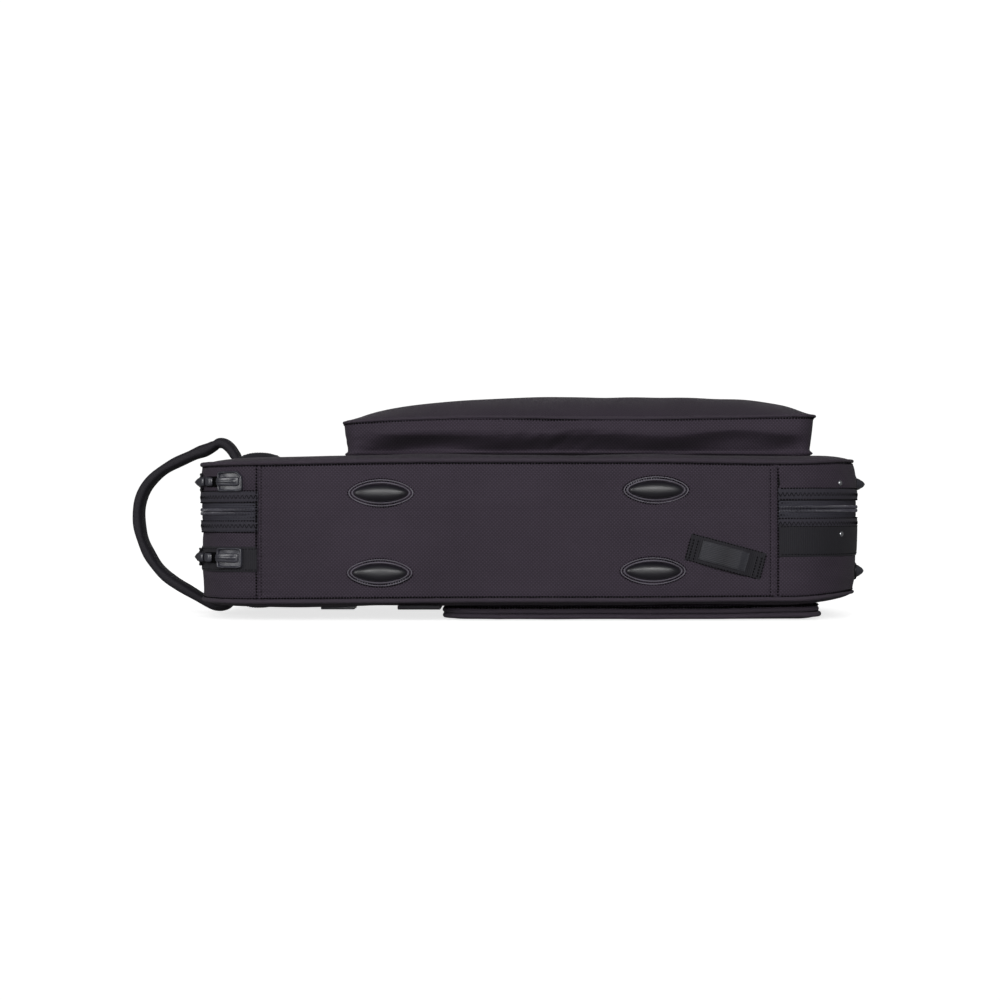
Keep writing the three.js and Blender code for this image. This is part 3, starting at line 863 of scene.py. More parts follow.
def drape(x: Array, z: Array) -> Array:
    """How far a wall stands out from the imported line, because the piping draws its edges in.

    The left end is 1.6 mm wider at the lid than at the base. The right end is drawn in by 1.6 mm at the
    zip, and by the square of the distance from it up to 5 mm at either piping.

    Args:
        x: places along the case.
        z: heights.

    Returns:
        The distance out.
    """
    left, right = smooth_step(-x, 236, 306), smooth_step(x, 286, 372)
    far = np.clip(abs(z - 122) / np.where(z > 122, 40.0, 95.0), 0, 1.1)
    return left * (1.6 * smooth_step(z, 70, 118) - 1.0) - right * (1.6 + 3.4 * far**2)


@dataclass
class HalfShell:
    """The sewn cover of one half: gusset, face panel, piping, hem, zip, board, lining and its thread."""

    body: str
    face_name: str
    side: int  # -1 for the base, 1 for the lid
    swell: float
    swell_over: float
    lining_floor: float
    hem_from: float = 8.6
    hem_to: float = 20.5
    gusset_run: float = 1.41  # metres, from seam to seam
    face_run: float = 0.684  # metres, from end to end

    def face_edge(self, x: Array) -> Array:
        """Height of this half's piping."""
        return back_edge(x) if self.side < 0 else front_edge(x)

    def span(self, step: float) -> Array:
        """Distances along the route from the left seam, over the top, to the right seam."""
        start, end = -SEAM_LEFT, ROUTE.length - SEAM_RIGHT
        return np.linspace(start, end, int((end - start) / step))

    def gusset(self) -> Piece:
        """The wall between piping and hem.

        Its outward swell is 0.8 sin(pi t)^0.7 over the height t, with creases, less a tuck along each seam.

        Returns:
            The piece.
        """
        s = self.span(3.0)
        s = np.concatenate([s[:1] - [[4.0], [2.0]], s[:, None], s[-1:] + [[2.0], [4.0]]])[:, 0]
        place, _ = ROUTE.at(s)
        x = place[:, :1]
        t = np.linspace(0, 1, 34)[None] ** 1.15
        start = self.face_edge(x) - self.side * PIPING * 0.6
        end = zip_line(x) + self.side * (self.hem_from + 1)
        z = start * (1 - t) + end * t
        run = abs(z - start)
        ends = np.maximum(np.minimum(s - s[2], s[-3] - s), 0)[:, None]
        tucked = (np.minimum(s - s[2], s[-3] - s) < -1)[:, None]
        points = np.concatenate([np.broadcast_to(place[:, None], (*z.shape, 2)), z[..., None]], -1)
        creases = soft_folds(points, (60, 60, 30), 11 + self.side)
        puckers = np.sin(2 * np.pi * s / 7.5 + 2 * np.sin(s / 31))[:, None]
        out = drape(x, z) + 0.8 * np.sin(np.pi * np.clip(t, 0.001, 0.999)) ** 0.7
        out += 0.4 * creases * smooth_step(run, 0, 9) + 0.28 * puckers * np.exp(-run / 6)
        out -= 1.9 * np.exp(-run / 1.5) + 1.1 * np.exp(-ends / 1.8) + 0.9 * tucked
        wall = ROUTE.wall(s, z, out, flip=self.side > 0)
        return Piece(self.body + "_gusset", [wall], Finishes.NYLON, self.body,
                     (self.body + "_gusset_cover",), wall=1.2, closed=False)

    def face(self) -> Piece:
        """The large face: it swells by 1 - exp(-depth / swell_over) from the piping, with slow slack.

        Returns:
            The piece.
        """

        def height(x: Array, y: Array) -> Array:
            """The face's height above the plane of its piping.

            Args:
                x: places along the case.
                y: places from the underside to the top.

            Returns:
                The height.
            """
            depth = np.maximum(FACE.depth(x, y) - 1, 0)
            flat = np.stack([x, y, np.zeros_like(x)], -1)
            slack = 0.6 * soft_folds(flat, (160, 160, 100), 5 + self.side) * smooth_step(depth, 0, 40)
            puckers = 0.25 * np.sin((x + y) / 1.4) * np.exp(-depth / 6)
            rise = self.swell * (1 - np.exp(-depth / self.swell_over)) + slack + puckers + 0.5
            return self.face_edge(x) + self.side * rise

        cap = ROUTE.cap(lambda x: drape(x, self.face_edge(x)) - 1, height, up=self.side > 0)
        return Piece(self.face_name + "_panel", [cap], Finishes.NYLON, self.body,
                     (self.face_name + "_panel_cover",), wall=1.3, closed=False)

    def piping(self) -> Piece:
        """A covered cord round the face: a circle carried along the edge, its radius wavering by 5%.

        Returns:
            The piece.
        """
        s = ROUTE.ring(2.5)
        place, _ = ROUTE.at(s)
        x = place[:, :1]
        turn = np.linspace(0, 2 * np.pi, 13)
        radius = PIPING * (1 + 0.05 * np.sin(s / 5.5) * np.sin(s / 17))[:, None]
        radius = radius * (1 - 0.3 * smooth_step(x, 300, 370))
        edge = self.face_edge(x)
        tube = ROUTE.wall(s, edge + radius * np.sin(turn), drape(x, edge) + radius * np.cos(turn))
        name = self.face_name + "_piping"
        return Piece(name + "_cord", [tube], Finishes.NYLON_PIPING, self.body, (name,))

    def band(self, low: float, high: float, out: float, thick: float) -> Patch:
        """A flat tape beside the zip: a rounded-end rectangle carried along the route.

        Args:
            low: where it starts, from the zip line.
            high: where it ends.
            out: its inner face, out from the draped wall.
            thick: its thickness.

        Returns:
            The closed patch.
        """
        s = self.span(3.0)
        place, _ = ROUTE.at(s)
        ring = superellipse((high - low) / 2, thick / 2, 5.0, 28)
        z = zip_line(place[:, :1]) + self.side * ((low + high) / 2 + ring[:, 0])
        bulge = 0.5 * (1 - (ring[:, 0] / ring[:, 0].max()) ** 2)
        ends = np.minimum(s - s[0], s[-1] - s)[:, None]
        return ROUTE.wall(s, z, drape(place[:, :1], z) + out + thick / 2 + ring[:, 1] + bulge
                          - 0.8 * np.exp(-ends / 5))

    def hem(self) -> Piece:
        """The bound edge beside the zip."""
        return Piece(self.body + "_zip_hem", [self.band(self.hem_from, self.hem_to, 0.1, 1.3)],
                     Finishes.BINDING, self.body)

    def zip_tape(self) -> Piece:
        """The stringer's tape, tucked under the hem."""
        tape = self.band(0.35, 10.5, -1.2, 0.9)
        return Piece(self.body + "_zip_tape", [tape], Finishes.ZIP_TAPE, self.body,
                     (self.body + "_zip_stringer",))

    def zip_coil(self) -> Piece:
        """One row of coil teeth, 1.5 mm a turn: proud of the tape, and sunk where it runs into a seam.

        Returns:
            The piece.
        """
        s = np.arange(-SEAM_LEFT + 1, ROUTE.length - SEAM_RIGHT - 1, 0.165)
        place, normal = ROUTE.at(s)
        ends = np.minimum(s - s[0], s[-1] - s)
        phase = 2 * np.pi * s / 1.5
        middle = zip_line(place[:, 0]) + self.side * 1.85
        out = drape(place[:, 0], middle) - 0.6 + 1.2 * smooth_step(ends, 0, 16) + 0.9 * np.cos(phase)
        path = np.column_stack([place + normal * out[:, None], middle + self.side * 1.5 * np.sin(phase)])
        tube = sweep(path, np.column_stack([normal, np.zeros(len(s))]), superellipse(0.4, 0.4, 2.0, 5))
        return Piece(self.body + "_zip_coil", [tube], Finishes.COIL, self.body)

    def tray(
        self,
        name: str,
        profile: Array,
        mouth: float,
        inset: float,
        finish: "Finishes",
        thick: float,
        node: str,
        facing_in: bool,
        rumple: float,
    ) -> Piece:
        """A tray: a profile carried round the case and drawn in to the middle of the face.

        Args:
            name: the piece's name.
            profile: (N, 2) of (distance out, distance from the face plane), from the mouth on.
            mouth: height at which the tray stops.
            inset: distance of the face plane in from the piping.
            finish: its finish.
            thick: its thickness.
            node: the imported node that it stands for.
            facing_in: whether the visible side is the inside.
            rumple: how uneven its face is.

        Returns:
            The piece.
        """
        s = ROUTE.ring(5.0)
        place, normal = ROUTE.at(s)
        plane = self.face_edge(place[:, 0]) - self.side * inset
        z = plane - self.side * np.minimum(profile[:, 1:], abs(mouth - plane))
        out = drape(place[:, 0], z) + profile[:, :1]
        sides = np.concatenate([place[None] + normal[None] * out[..., None], z[..., None]], -1)
        middle = (sides[-1, :, :2].min(0) + sides[-1, :, :2].max(0)) / 2
        t = np.linspace(1, 0, 26)[1:, None, None]
        flat = middle + t * (sides[-1, :, :2] - middle)
        slack = rumple * soft_folds(np.concatenate([flat, 0 * flat[..., :1]], -1), (90, 90, 90), 23)
        floor = self.face_edge(flat[..., 0]) - self.side * (inset + slack * (1 - t[..., 0]) ** 0.5)
        points = np.concatenate([sides, np.concatenate([flat, floor[..., None]], -1)])
        flip = (self.side > 0) == facing_in
        return Piece(name, [Patch.grid(points, flip=flip)], finish, self.body, (node,), thick, False)

    def board(self) -> Piece:
        """The board tray inside the cloth: straight walls and a fillet of 9 mm.

        Returns:
            The piece.
        """
        bend = np.linspace(0, np.pi / 2, 8)
        fillet = np.stack([-3.8 - 9 * (1 - np.cos(bend)), 9 - 9 * np.sin(bend)], -1)
        rise = np.column_stack([np.full(8, -3.8), np.linspace(130, 11, 8)])
        return self.tray(self.body + "_board_tray", np.concatenate([rise, fillet]),
                         SPLIT + self.side * 0.8, 2.2, Finishes.BOARD, 2.8, self.body + "_frame", False, 0.0)

    def lining(self) -> Piece:
        """The padded inside: over the rim, down the wall, round a fillet and across the face.

        Returns:
            The piece.
        """
        turn = np.linspace(0, np.pi, 9)
        depth = abs(SPLIT - self.lining_floor) - 1
        rim = np.stack([-9.9 + 2.8 * np.cos(turn), depth - (2.8 - 2.4 * np.sin(turn))], -1)
        levels = np.linspace(depth - 5, 10, 14)
        wall = np.stack([-12.7 - 0.5 * np.sin(np.pi * levels / depth), levels], -1)
        bend = np.linspace(0, np.pi / 2, 8)[1:]
        fillet = np.stack([-12.7 - 9 * (1 - np.cos(bend)), 9 - 9 * np.sin(bend)], -1)
        inset = abs(float(self.face_edge(np.array(60.0))) - self.lining_floor)
        return self.tray(self.body + "_padded_lining", np.concatenate([rim, wall, fillet]),
                         SPLIT + self.side * 0.8, inset, Finishes.LINING, 2.4, self.body + "_lining",
                         True, 0.7)

    def stitching(self) -> Piece:
        """Thread: beside the piping, along both edges of the hem, on the zip tape, and a zigzag on the hem.

        Returns:
            The piece.
        """

        def row(s: Array, z: Array, out: float) -> tuple[Array, Array]:
            """A line on the draped wall."""
            place, _ = ROUTE.at(s)
            return ROUTE.line(s, z, out + drape(place[:, 0], z))

        s = self.span(2.0)
        x = ROUTE.at(s)[0][:, 0]
        rows = [topstitch(*row(s, zip_line(x) + self.side * offset, out), 3.0, 0.6, 0.75)
                for offset, out in ((self.hem_from + 0.8, 1.5), (self.hem_to + 0.2, 1.3))]
        # This thick row beside the piping also stands for the crease's shade: painted shade.
        rows.append(topstitch(*row(s, self.face_edge(x) - self.side * (PIPING + 0.9), -0.5), 3.0, 0.5, 0.9))
        marks = self.span(2.2)
        sway = np.where(np.arange(len(marks)) % 2, 1.0, -1.0) * 2.2
        middle = (self.hem_from + self.hem_to) / 2
        zigzag, normals = row(marks, zip_line(ROUTE.at(marks)[0][:, 0]) + self.side * (middle + sway), 1.95)
        rows.append(thread(zigzag[:-1], zigzag[1:], normals[:-1], 0.38))
        rows.append(topstitch(*row(s, zip_line(x) + self.side * 5.9, -0.2), 3.0, 0.3, 0.6))
        return Piece(self.body + "_stitching", rows, Finishes.THREAD_AND_SEAM_SHADE, self.body)

    def build(self) -> None:
        """Builds every piece of this half."""
        board = self.board().build()
        for piece, length in ((self.gusset(), self.gusset_run), (self.face(), self.face_run)):
            obj = piece.build()
        for piece in (self.piping(), self.hem(), self.zip_tape(), self.zip_coil(), self.lining(),
                      self.stitching()):
            piece.build()


def rounded_node(
    node: str, finish: "Finishes", body: str, bevel: float, lift: float = 0.0
) -> bpy.types.Object:
    """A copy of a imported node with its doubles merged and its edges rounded, in place of the node.

    Args:
        node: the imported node.
        finish: the copy's finish.
        body: the body that carries it.
        bevel: width of the rounding in millimetres.
        lift: how far up it moves, in millimetres.

    Returns:
        The copy.
    """
    source = next(o for o in bpy.data.objects if o.get("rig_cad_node") == node)
    mesh = source.data.copy()
    mesh.name = node + "_rounded"
    work = bmesh.new()
    work.from_mesh(mesh)
    bmesh.ops.remove_doubles(work, verts=work.verts, dist=1e-6)
    bmesh.ops.dissolve_limit(work, angle_limit=math.radians(2), verts=work.verts, edges=work.edges)
    bmesh.ops.translate(work, verts=work.verts, vec=(0, 0, lift * MM))
    work.to_mesh(mesh)
    work.free()
    for polygon in mesh.polygons:
        polygon.use_smooth = True
    obj = add_object(node + "_rounded", mesh)
    edge = obj.modifiers.new("rounded_edges", "BEVEL")
    edge.width, edge.segments, edge.limit_method = bevel * MM, 3, "ANGLE"
    edge.angle_limit, edge.harden_normals = math.radians(28), True
    return settle(obj, finish, body, (node,))


@dataclass
class UndersidePanel:
    """The panel under the case: one cloth from the back piping to the front one, folded at the hinge."""

    left: float = SEAM_LEFT
    right: float = SEAM_RIGHT
    fold_half: float = 7.0
    run: float = 0.521  # metres, from seam to seam

    def surface(self, x: Array, t: Array) -> tuple[Array, Array]:
        """The cloth's place at x and at share t of the way from the back piping to the front piping.

        It lies flat on the boards with a swell of 0.8 sin(pi t)^0.5 and a 0.3 mm dip at the fold. It has a
        tuck along each seam, a crease beside the end ones, and puckers that die away over 9 mm.

        Args:
            x: places along the case.
            t: share of the way from the back piping.

        Returns:
            (height z, distance out).
        """
        low, high = back_edge(x) + PIPING * 0.6, front_edge(x) - PIPING * 0.6
        z = low * (1 - t) + high * t
        ends = np.maximum(np.minimum(x - self.left, self.right - x), 0)
        edge = np.minimum(z - low, high - z)
        points = np.stack([x, np.zeros_like(x), z], -1)
        out = 0.8 * np.sin(np.pi * np.clip(t, 0.002, 0.998)) ** 0.5
        out += 0.3 * soft_folds(points, (150, 100, 60), 3) * smooth_step(edge, 0, 14)
        out -= 0.3 * np.exp(-(((z - zip_line(x)) / 1.6) ** 2))
        out -= 1.9 * np.exp(-edge / 1.5) + 1.3 * np.exp(-ends / 1.6)
        out -= 0.7 * np.exp(-(((x - self.left - 3.2) / 0.9) ** 2))
        out -= 0.7 * np.exp(-(((self.right - x - 7.5) / 1.0) ** 2))
        out += 0.4 * np.sin(z / 1.2 + 1.5 * np.sin(z / 9)) * np.exp(-ends / 9)
        out += 0.2 * np.sin(x / 1.3 + np.sin(x / 11)) * np.exp(-edge / 6)
        return z, out

    def panel(self) -> Piece:
        """The cloth itself.

        Returns:
            The piece.
        """
        x = np.concatenate([np.linspace(self.left, self.left + 14, 22)[:-1],
                            np.linspace(self.left + 14, self.right - 14, 330),
                            np.linspace(self.right - 14, self.right, 22)[1:]])
        t = (1 - np.cos(np.pi * np.linspace(0, 1, 110))) / 2
        xs, ts = np.meshgrid(x, t, indexing="ij")
        z, out = self.surface(xs, ts)
        points = np.stack([xs, -out, z], -1)
        return Piece("underside_panel", [Patch.grid(points, np.stack([xs, z], -1), flip=True)],
                     Finishes.NYLON, "", ("base_bottom_cover", "lid_bottom_cover"), wall=1.2,
                     closed=False)

    def row(self, x: Array, z: Array, lift: float) -> tuple[Array, Array]:
        """(points, normals) of a line on the cloth.

        Args:
            x: places along the case.
            z: heights.
            lift: out from the cloth.

        Returns:
            (points, normal or normals).
        """
        low, high = back_edge(x) + PIPING * 0.6, front_edge(x) - PIPING * 0.6
        _, out = self.surface(x, (z - low) / (high - low))
        return np.stack([x, -out - lift, z], -1), OUT_OF_UNDERSIDE

    def stitching(self) -> Piece:
        """Thread down both end seams, beside them, and along both pipings.

        Returns:
            The piece.
        """
        rows = []
        z = np.linspace(25.5, 156, 150)
        for x0, lift, radius in ((self.left + 3.2, 0.15, 0.5), (self.right - 7.5, 0.15, 0.55),
                                 (self.left - 1.6, 1.5, 1.0), (self.right + 0.2, 0.7, 1.0)):
            rows.append(topstitch(*self.row(np.full_like(z, x0), z, lift), 3.0, 0.8, radius))
        x = np.linspace(self.left + 2, self.right - 2, 400)
        for z in (back_edge(x) + PIPING + 1.0, front_edge(x) - PIPING - 1.0):
            rows.append(topstitch(*self.row(x, z, 0.3), 3.0, 0.5, 0.9))
        return Piece("underside_stitching", rows, Finishes.THREAD_AND_SEAM_SHADE)

    def build(self) -> None:
        """Builds the panel and its thread, and bakes each one's transform into its mesh."""
        for piece in (self.panel(), self.stitching()):
            obj = piece.build()
            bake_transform(obj)


@dataclass
class Foot:
    """A polished oval stud in a moulded welt that is stitched to the underside."""

    node: str
    body: str
    nudge: tuple[float, float] = (0.0, 0.0)
    half_length: float = 27.0
    half_width: float = 8.8
    height: float = 7.8

    def middle(self) -> tuple[float, float]:
        """The stud's place on the underside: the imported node's middle, moved by the nudge.

        Returns:
            (x, z).
        """
        low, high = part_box(self.node)
        centre = (np.array(low) + np.array(high)) / 2 / MM - MAKER_TO_SHARED
        return float(centre[0]) + self.nudge[0], float(centre[2]) + self.nudge[1]

    def oval(self, turn: Array, grow: Array | float) -> tuple[Array, Array]:
        """A pointed oval, grow millimetres larger than the stud: z is drawn in by 14% where x is longest.

        Args:
            turn: angles round the oval.
            grow: how much larger it is than the stud.

        Returns:
            (x, z) from the stud's middle.
        """
        x = (self.half_length + grow) * np.cos(turn)
        z = (self.half_width + 0.86 * grow) * np.sin(turn) * (1 - 0.14 * np.cos(turn) ** 2)
        return x, z

    def dome(self) -> Piece:
        """A half round bar cut to the oval, with v across it and u along it.

        Its height is 1.4 + 6.4 sqrt(1 - |v|^2.5) (1 - |u|^2.6)^0.55.

        Returns:
            The piece.
        """
        cx, cz = self.middle()
        turn = np.linspace(np.pi, 0, 61)[:, None]
        x, reach = self.oval(turn, 0.0)
        v = np.cos(np.linspace(np.pi, 0, 33))[None]
        along = np.maximum(1 - abs(x / self.half_length) ** 2.6, 0) ** 0.55
        rise = 1.4 + (self.height - 1.4) * np.sqrt(1 - abs(v) ** 2.5) * along
        z = np.concatenate([reach * v, reach, -reach, -reach], 1)
        rise = np.concatenate([rise, rise[:, :1] * 0 - 1.2, rise[:, :1] * 0 - 1.2, rise[:, :1]], 1)
        points = np.stack([np.broadcast_to(cx + x, z.shape), -rise, cz + z], -1)
        return Piece(self.node + "_stud", [Patch.grid(points)], Finishes.FOOT, self.body,
                     (self.node,), edge_degrees=60)

    def surround(self) -> Piece:
        """The welt: a rolled lip, a sunk stitched groove and a thinner outer lip, carried round the oval.

        Returns:
            The piece.
        """
        cx, cz = self.middle()
        turn = np.linspace(0, 2 * np.pi, 97)[None]
        inner, outer = np.linspace(0, np.pi, 7), np.linspace(0, np.pi, 6)
        grow = np.concatenate([[0.4], 1.6 - 0.8 * np.cos(inner), [2.9, 4.1], 4.9 - 0.6 * np.cos(outer),
                               [5.6, 0.4]])
        rise = np.concatenate([[-0.2], 0.9 + 1.8 * np.sin(inner), [0.3, 0.3], 0.8 + 1.3 * np.sin(outer),
                               [-0.6, -0.6]])
        x, z = self.oval(turn, grow[:, None])
        points = np.stack([cx + x, np.broadcast_to(-rise[:, None], x.shape), cz + z], -1)
        points = np.concatenate([points, points[:1]])
        name = self.node.replace("foot", "foot_surround")
        # The welt's pale grey colour is painted highlight on its lips.
        return Piece(name + "_welt", [Patch.grid(points)], Finishes.WELT_PAINTED_HIGHLIGHT, self.body, (name,))

    def stitching(self) -> Piece:
        """Thread in the welt's groove and round the outside of it.

        Returns:
            The piece.
        """
        cx, cz = self.middle()
        rows = []
        # These thick dark rows also stand for the shade in the groove and round the welt: painted shade.
        for grow, lift, radius in ((3.5, 0.7, 0.62), (6.5, 0.75, 0.6)):
            x, z = self.oval(np.linspace(0, 2 * np.pi, 200), grow)
            path = np.stack([cx + x, np.full_like(x, -lift), cz + z], -1)
            rows.append(topstitch(path, OUT_OF_UNDERSIDE, 2.6, 0.6, radius))
        return Piece(self.node + "_stitching", rows, Finishes.THREAD_AND_SEAM_SHADE, self.body)

    def build(self) -> None:
        """Builds the stud, its welt and its thread."""
        for piece in (self.dome(), self.surround(), self.stitching()):
            piece.build()


@dataclass
class StrapAnchor:
    """A moulded strap anchor bent round an end: a rimmed plate with a tongue, a spine, a nose and its ring.

    Its own axes are a along it, w across it towards +z, and h out from the cloth.
    """

    place: str  # half and end, as in the node names
    start: float
    z: float
    base: float
    nose_top: float
    chamfer: float
    ring_low: float
    blunt: float

    def wrapped(self, patch: Patch) -> Patch:
        """Bends a patch of (a, w, h) points round the case.

        Args:
            patch: in the anchor's own axes.

        Returns:
            The patch in the maker's frame.
        """
        a, w, h = patch.points.T
        spot, normal = ROUTE.at(self.start + a)
        xy = spot + normal * (self.base + h)[:, None]
        return Patch(np.column_stack([xy, self.z + w]), patch.faces, patch.cloth)

    def plate(self) -> Patch:
        """Rounded rectangles that step in over a rolled rim and down to the plate's floor.

        Its upper free corner is cut off at 45 degrees: points past the cut move back at right angles to it.

        Returns:
            The closed patch.
        """
        turn = np.linspace(0, np.pi, 7)
        inset = np.concatenate([[0], 0.95 - 0.95 * np.cos(turn), [2.2, 14]])
        high = np.concatenate([[-4], 2.2 + 1.3 * np.sin(turn), [1.0, 1.0]])
        ring = superellipse(1.0, 1.0, 9.0, 96)
        a = 12.6 + np.maximum(14.0 - inset[:, None], 0.0) * ring[:, 0]
        w = np.maximum(10.2 - inset[:, None], 0.0) * ring[:, 1]
        over = np.maximum(w - a - (11.6 - self.chamfer - 1.41 * np.minimum(inset, 6)[:, None]), 0) / 2
        over = over * (inset < 10)[:, None]
        points = np.stack([a + over, w - over, np.broadcast_to(high[:, None], a.shape)], -1)
        below = np.broadcast_to([12.6, 0, -4], points[:1].shape)
        return Patch.grid(np.concatenate([below, points]))

    def pad(
        self,
        start: float,
        end: float,
        half: tuple[float, float],
        top: tuple[float, float],
        power: float = 4.0,
    ) -> Patch:
        """A rounded bar along the anchor.

        Args:
            start: where it starts along a.
            end: where it ends.
            half: its half width at each end.
            top: its height at each end.
            power: of its superellipse section.

        Returns:
            The closed patch.
        """
        t = np.array([0, 0.06, 0.14, 0.3, 0.5, 0.7, 0.86, 0.94, 1.0])
        ease = np.minimum(1, 0.8 + 0.2 * np.minimum(t, 1 - t) / 0.1)
        top_at, half_at = top[0] + (top[1] - top[0]) * t, half[0] + (half[1] - half[0]) * t
        low = np.full_like(t, -3.0)
        path = np.column_stack([start + (end - start) * t, 0 * t, (top_at * ease + low) / 2])
        ring = superellipse(half_at * ease, (top_at * ease - low) / 2, power, 24)
        return sweep(path, np.array([0.0, 1, 0]), ring)

    def nose(self) -> Patch:
        """A pointed dome, grooved at r = 0.62: height nose_top (0.65 (1 - r^blunt) + 0.35 (1 - r)).

        Returns:
            The closed patch.
        """
        r, turn = np.linspace(0, 1, 22)[:, None], np.linspace(0, 2 * np.pi, 41)[None]
        high = self.nose_top * (0.65 * (1 - r**self.blunt) + 0.35 * (1 - r))
        high = high - 0.6 * np.exp(-(((r - 0.62) / 0.05) ** 2))
        points = np.stack([69 + 11 * r * np.cos(turn), 7.2 * r * np.sin(turn), high + 0 * turn], -1)
        skirt = points[-1:] - [0, 0, 5]
        below = np.broadcast_to([69.0, 0, -5], skirt.shape)
        return Patch.grid(np.concatenate([points, skirt, below]))

    def ring(self) -> Patch:
        """A wire ring: its bar turns in the eye, and its bow drops to lie low round the nose.

        Returns:
            The closed patch.
        """
        t = np.linspace(0, 2 * np.pi, 73)
        c, s = np.cos(t), np.sin(t)
        a = 69.4 - 14.9 * np.sign(c) * abs(c) ** 0.6
        w = 8.2 * np.sign(s) * abs(s) ** 0.7
        h = 3.2 + (self.ring_low - 3.2) * smooth_step(a, 55, 61)
        path = np.column_stack([a, w, h])
        return sweep(path, np.array([0.0, 0, 1]), superellipse(1.05, 1.05, 2.0, 12), closed_ends=False)

    def build(self) -> None:
        """Builds the anchor in one piece, and its ring."""
        parts = [
            self.plate(),
            self.pad(3.4, 26.8, (4.9, 4.3), (2.8, 4.6), 6.0),
            self.pad(5.0, 26.4, (2.9, 1.0), (3.6, 5.6), 3.0),
            self.pad(35.4, 42.0, (4.6, 4.4), (6.0, 5.6), 5.0),
            self.pad(49.0, 59.4, (4.6, 4.2), (6.2, 6.6), 5.0),
            self.nose(),
        ]
        anchor, ring = "strap_anchor_" + self.place, "strap_ring_" + self.place
        half = self.place.split("_")[0]
        # A near-black pad under the bars is painted shade for the anchor's gaps.
        shade_pad = self.pad(26.0, 49.4, (5.6, 5.2), (2.0, 2.0))
        Piece(anchor + "_slots", [self.wrapped(shade_pad)], Finishes.SLOT_SHADE, half).build()
        Piece(anchor + "_moulding", [self.wrapped(p) for p in parts], Finishes.MOULDED, half, (anchor,),
              edge_degrees=40).build()
        Piece(ring + "_wire", [self.wrapped(self.ring())], Finishes.LACQUERED, ring, (ring,)).build()


def strap_anchors() -> list[StrapAnchor]:
    """The four anchors: the left ones start 14.5 mm into the corner, and the right ones come forward.

    Returns:
        The anchors.
    """
    left, right = LEFT_CORNER + 14.5, ROUTE.length - RIGHT_CORNER - 204
    return [
        StrapAnchor("lid_left", left, 140.6, 0.9, 7.6, 5.5, 1.2, 1.5),
        StrapAnchor("base_left", left, 64.0, 1.9, 6.6, 0.0, 1.0, 1.5),
        StrapAnchor("lid_right", right, 139.0, 0.0, 10.8, 5.5, -1.4, 2.6),
        StrapAnchor("base_right", right, 48.0, 0.0, 9.4, 0.0, -1.4, 2.6),
    ]


@dataclass
class Rivet:
    """A domed rivet on the right-hand corner."""

    node: str
    body: str
    z: float
    lift: float  # of what it is set in, over the gusset
    angle: float = 41.0
    radius: float = 2.9

    def build(self) -> None:
        """Builds the head: radius 2.9 sin(b) at height 0.2 + 1.7 cos(b) over the cloth, closed below."""
        s0 = ROUTE.length - RIGHT_CORNER - math.radians(self.angle) * CASE.right_radius
        bend, turn = np.linspace(0, np.pi / 2, 10)[:, None], np.linspace(0, 2 * np.pi, 33)[None]
        r, high = self.radius * np.sin(bend), 0.2 + 1.7 * np.cos(bend)
        r, high = np.vstack([r, r[-1:], 0 * r[-1:]]), np.vstack([high, [[-3.0]], [[-3.0]]])
        place, normal = ROUTE.at((s0 + r * np.cos(turn)).ravel())
        lift = (high + 0 * turn).ravel()
        out = lift + drape(place[:, 0], np.full(len(place), self.z)) + self.lift
        points = np.column_stack([place + normal * out[:, None], self.z + (r * np.sin(turn)).ravel()])
        head = Patch.grid(points.reshape(*(r * turn).shape, 3))
        Piece(self.node + "_head", [head], Finishes.NICKEL, self.body, (self.node,)).build()


@dataclass
class Belt:
    """The wide webbing sewn round the base: 25 mm wide at the left end and 32 mm at the right one."""

    @staticmethod
    def half(x: Array) -> Array:
        """Half its width."""
        return 12.6 + 3.6 * smooth_step(x, -250, 100)

    def build(self) -> None:
        """Builds the webbing as a flat band carried along the gusset, and its edge stitching."""
        s = np.linspace(-SEAM_LEFT + 0.8, ROUTE.length - SEAM_RIGHT - 0.8, 460)
        x = ROUTE.at(s)[0][:, :1]
        ring = superellipse(1.0, 0.75, 6.0, 36)
        z = belt_line(x) + ring[:, 0] * self.half(x)
        out = 1.35 + ring[:, 1] - 0.4 * ring[:, 0] ** 6 + drape(x, z)
        Piece("belt_band", [ROUTE.wall(s, z, out)], Finishes.WEBBING, "base",
              ("webbing_belt",)).build()
        rows = []
        for side in (-1, 1):
            z = belt_line(x[:, 0]) + side * (self.half(x[:, 0]) - 2.2)
            rows.append(topstitch(*ROUTE.line(s, z, 2.05 + drape(x[:, 0], z))))
        Piece("belt_stitching", rows, Finishes.THREAD_AND_SEAM_SHADE, "base").build()


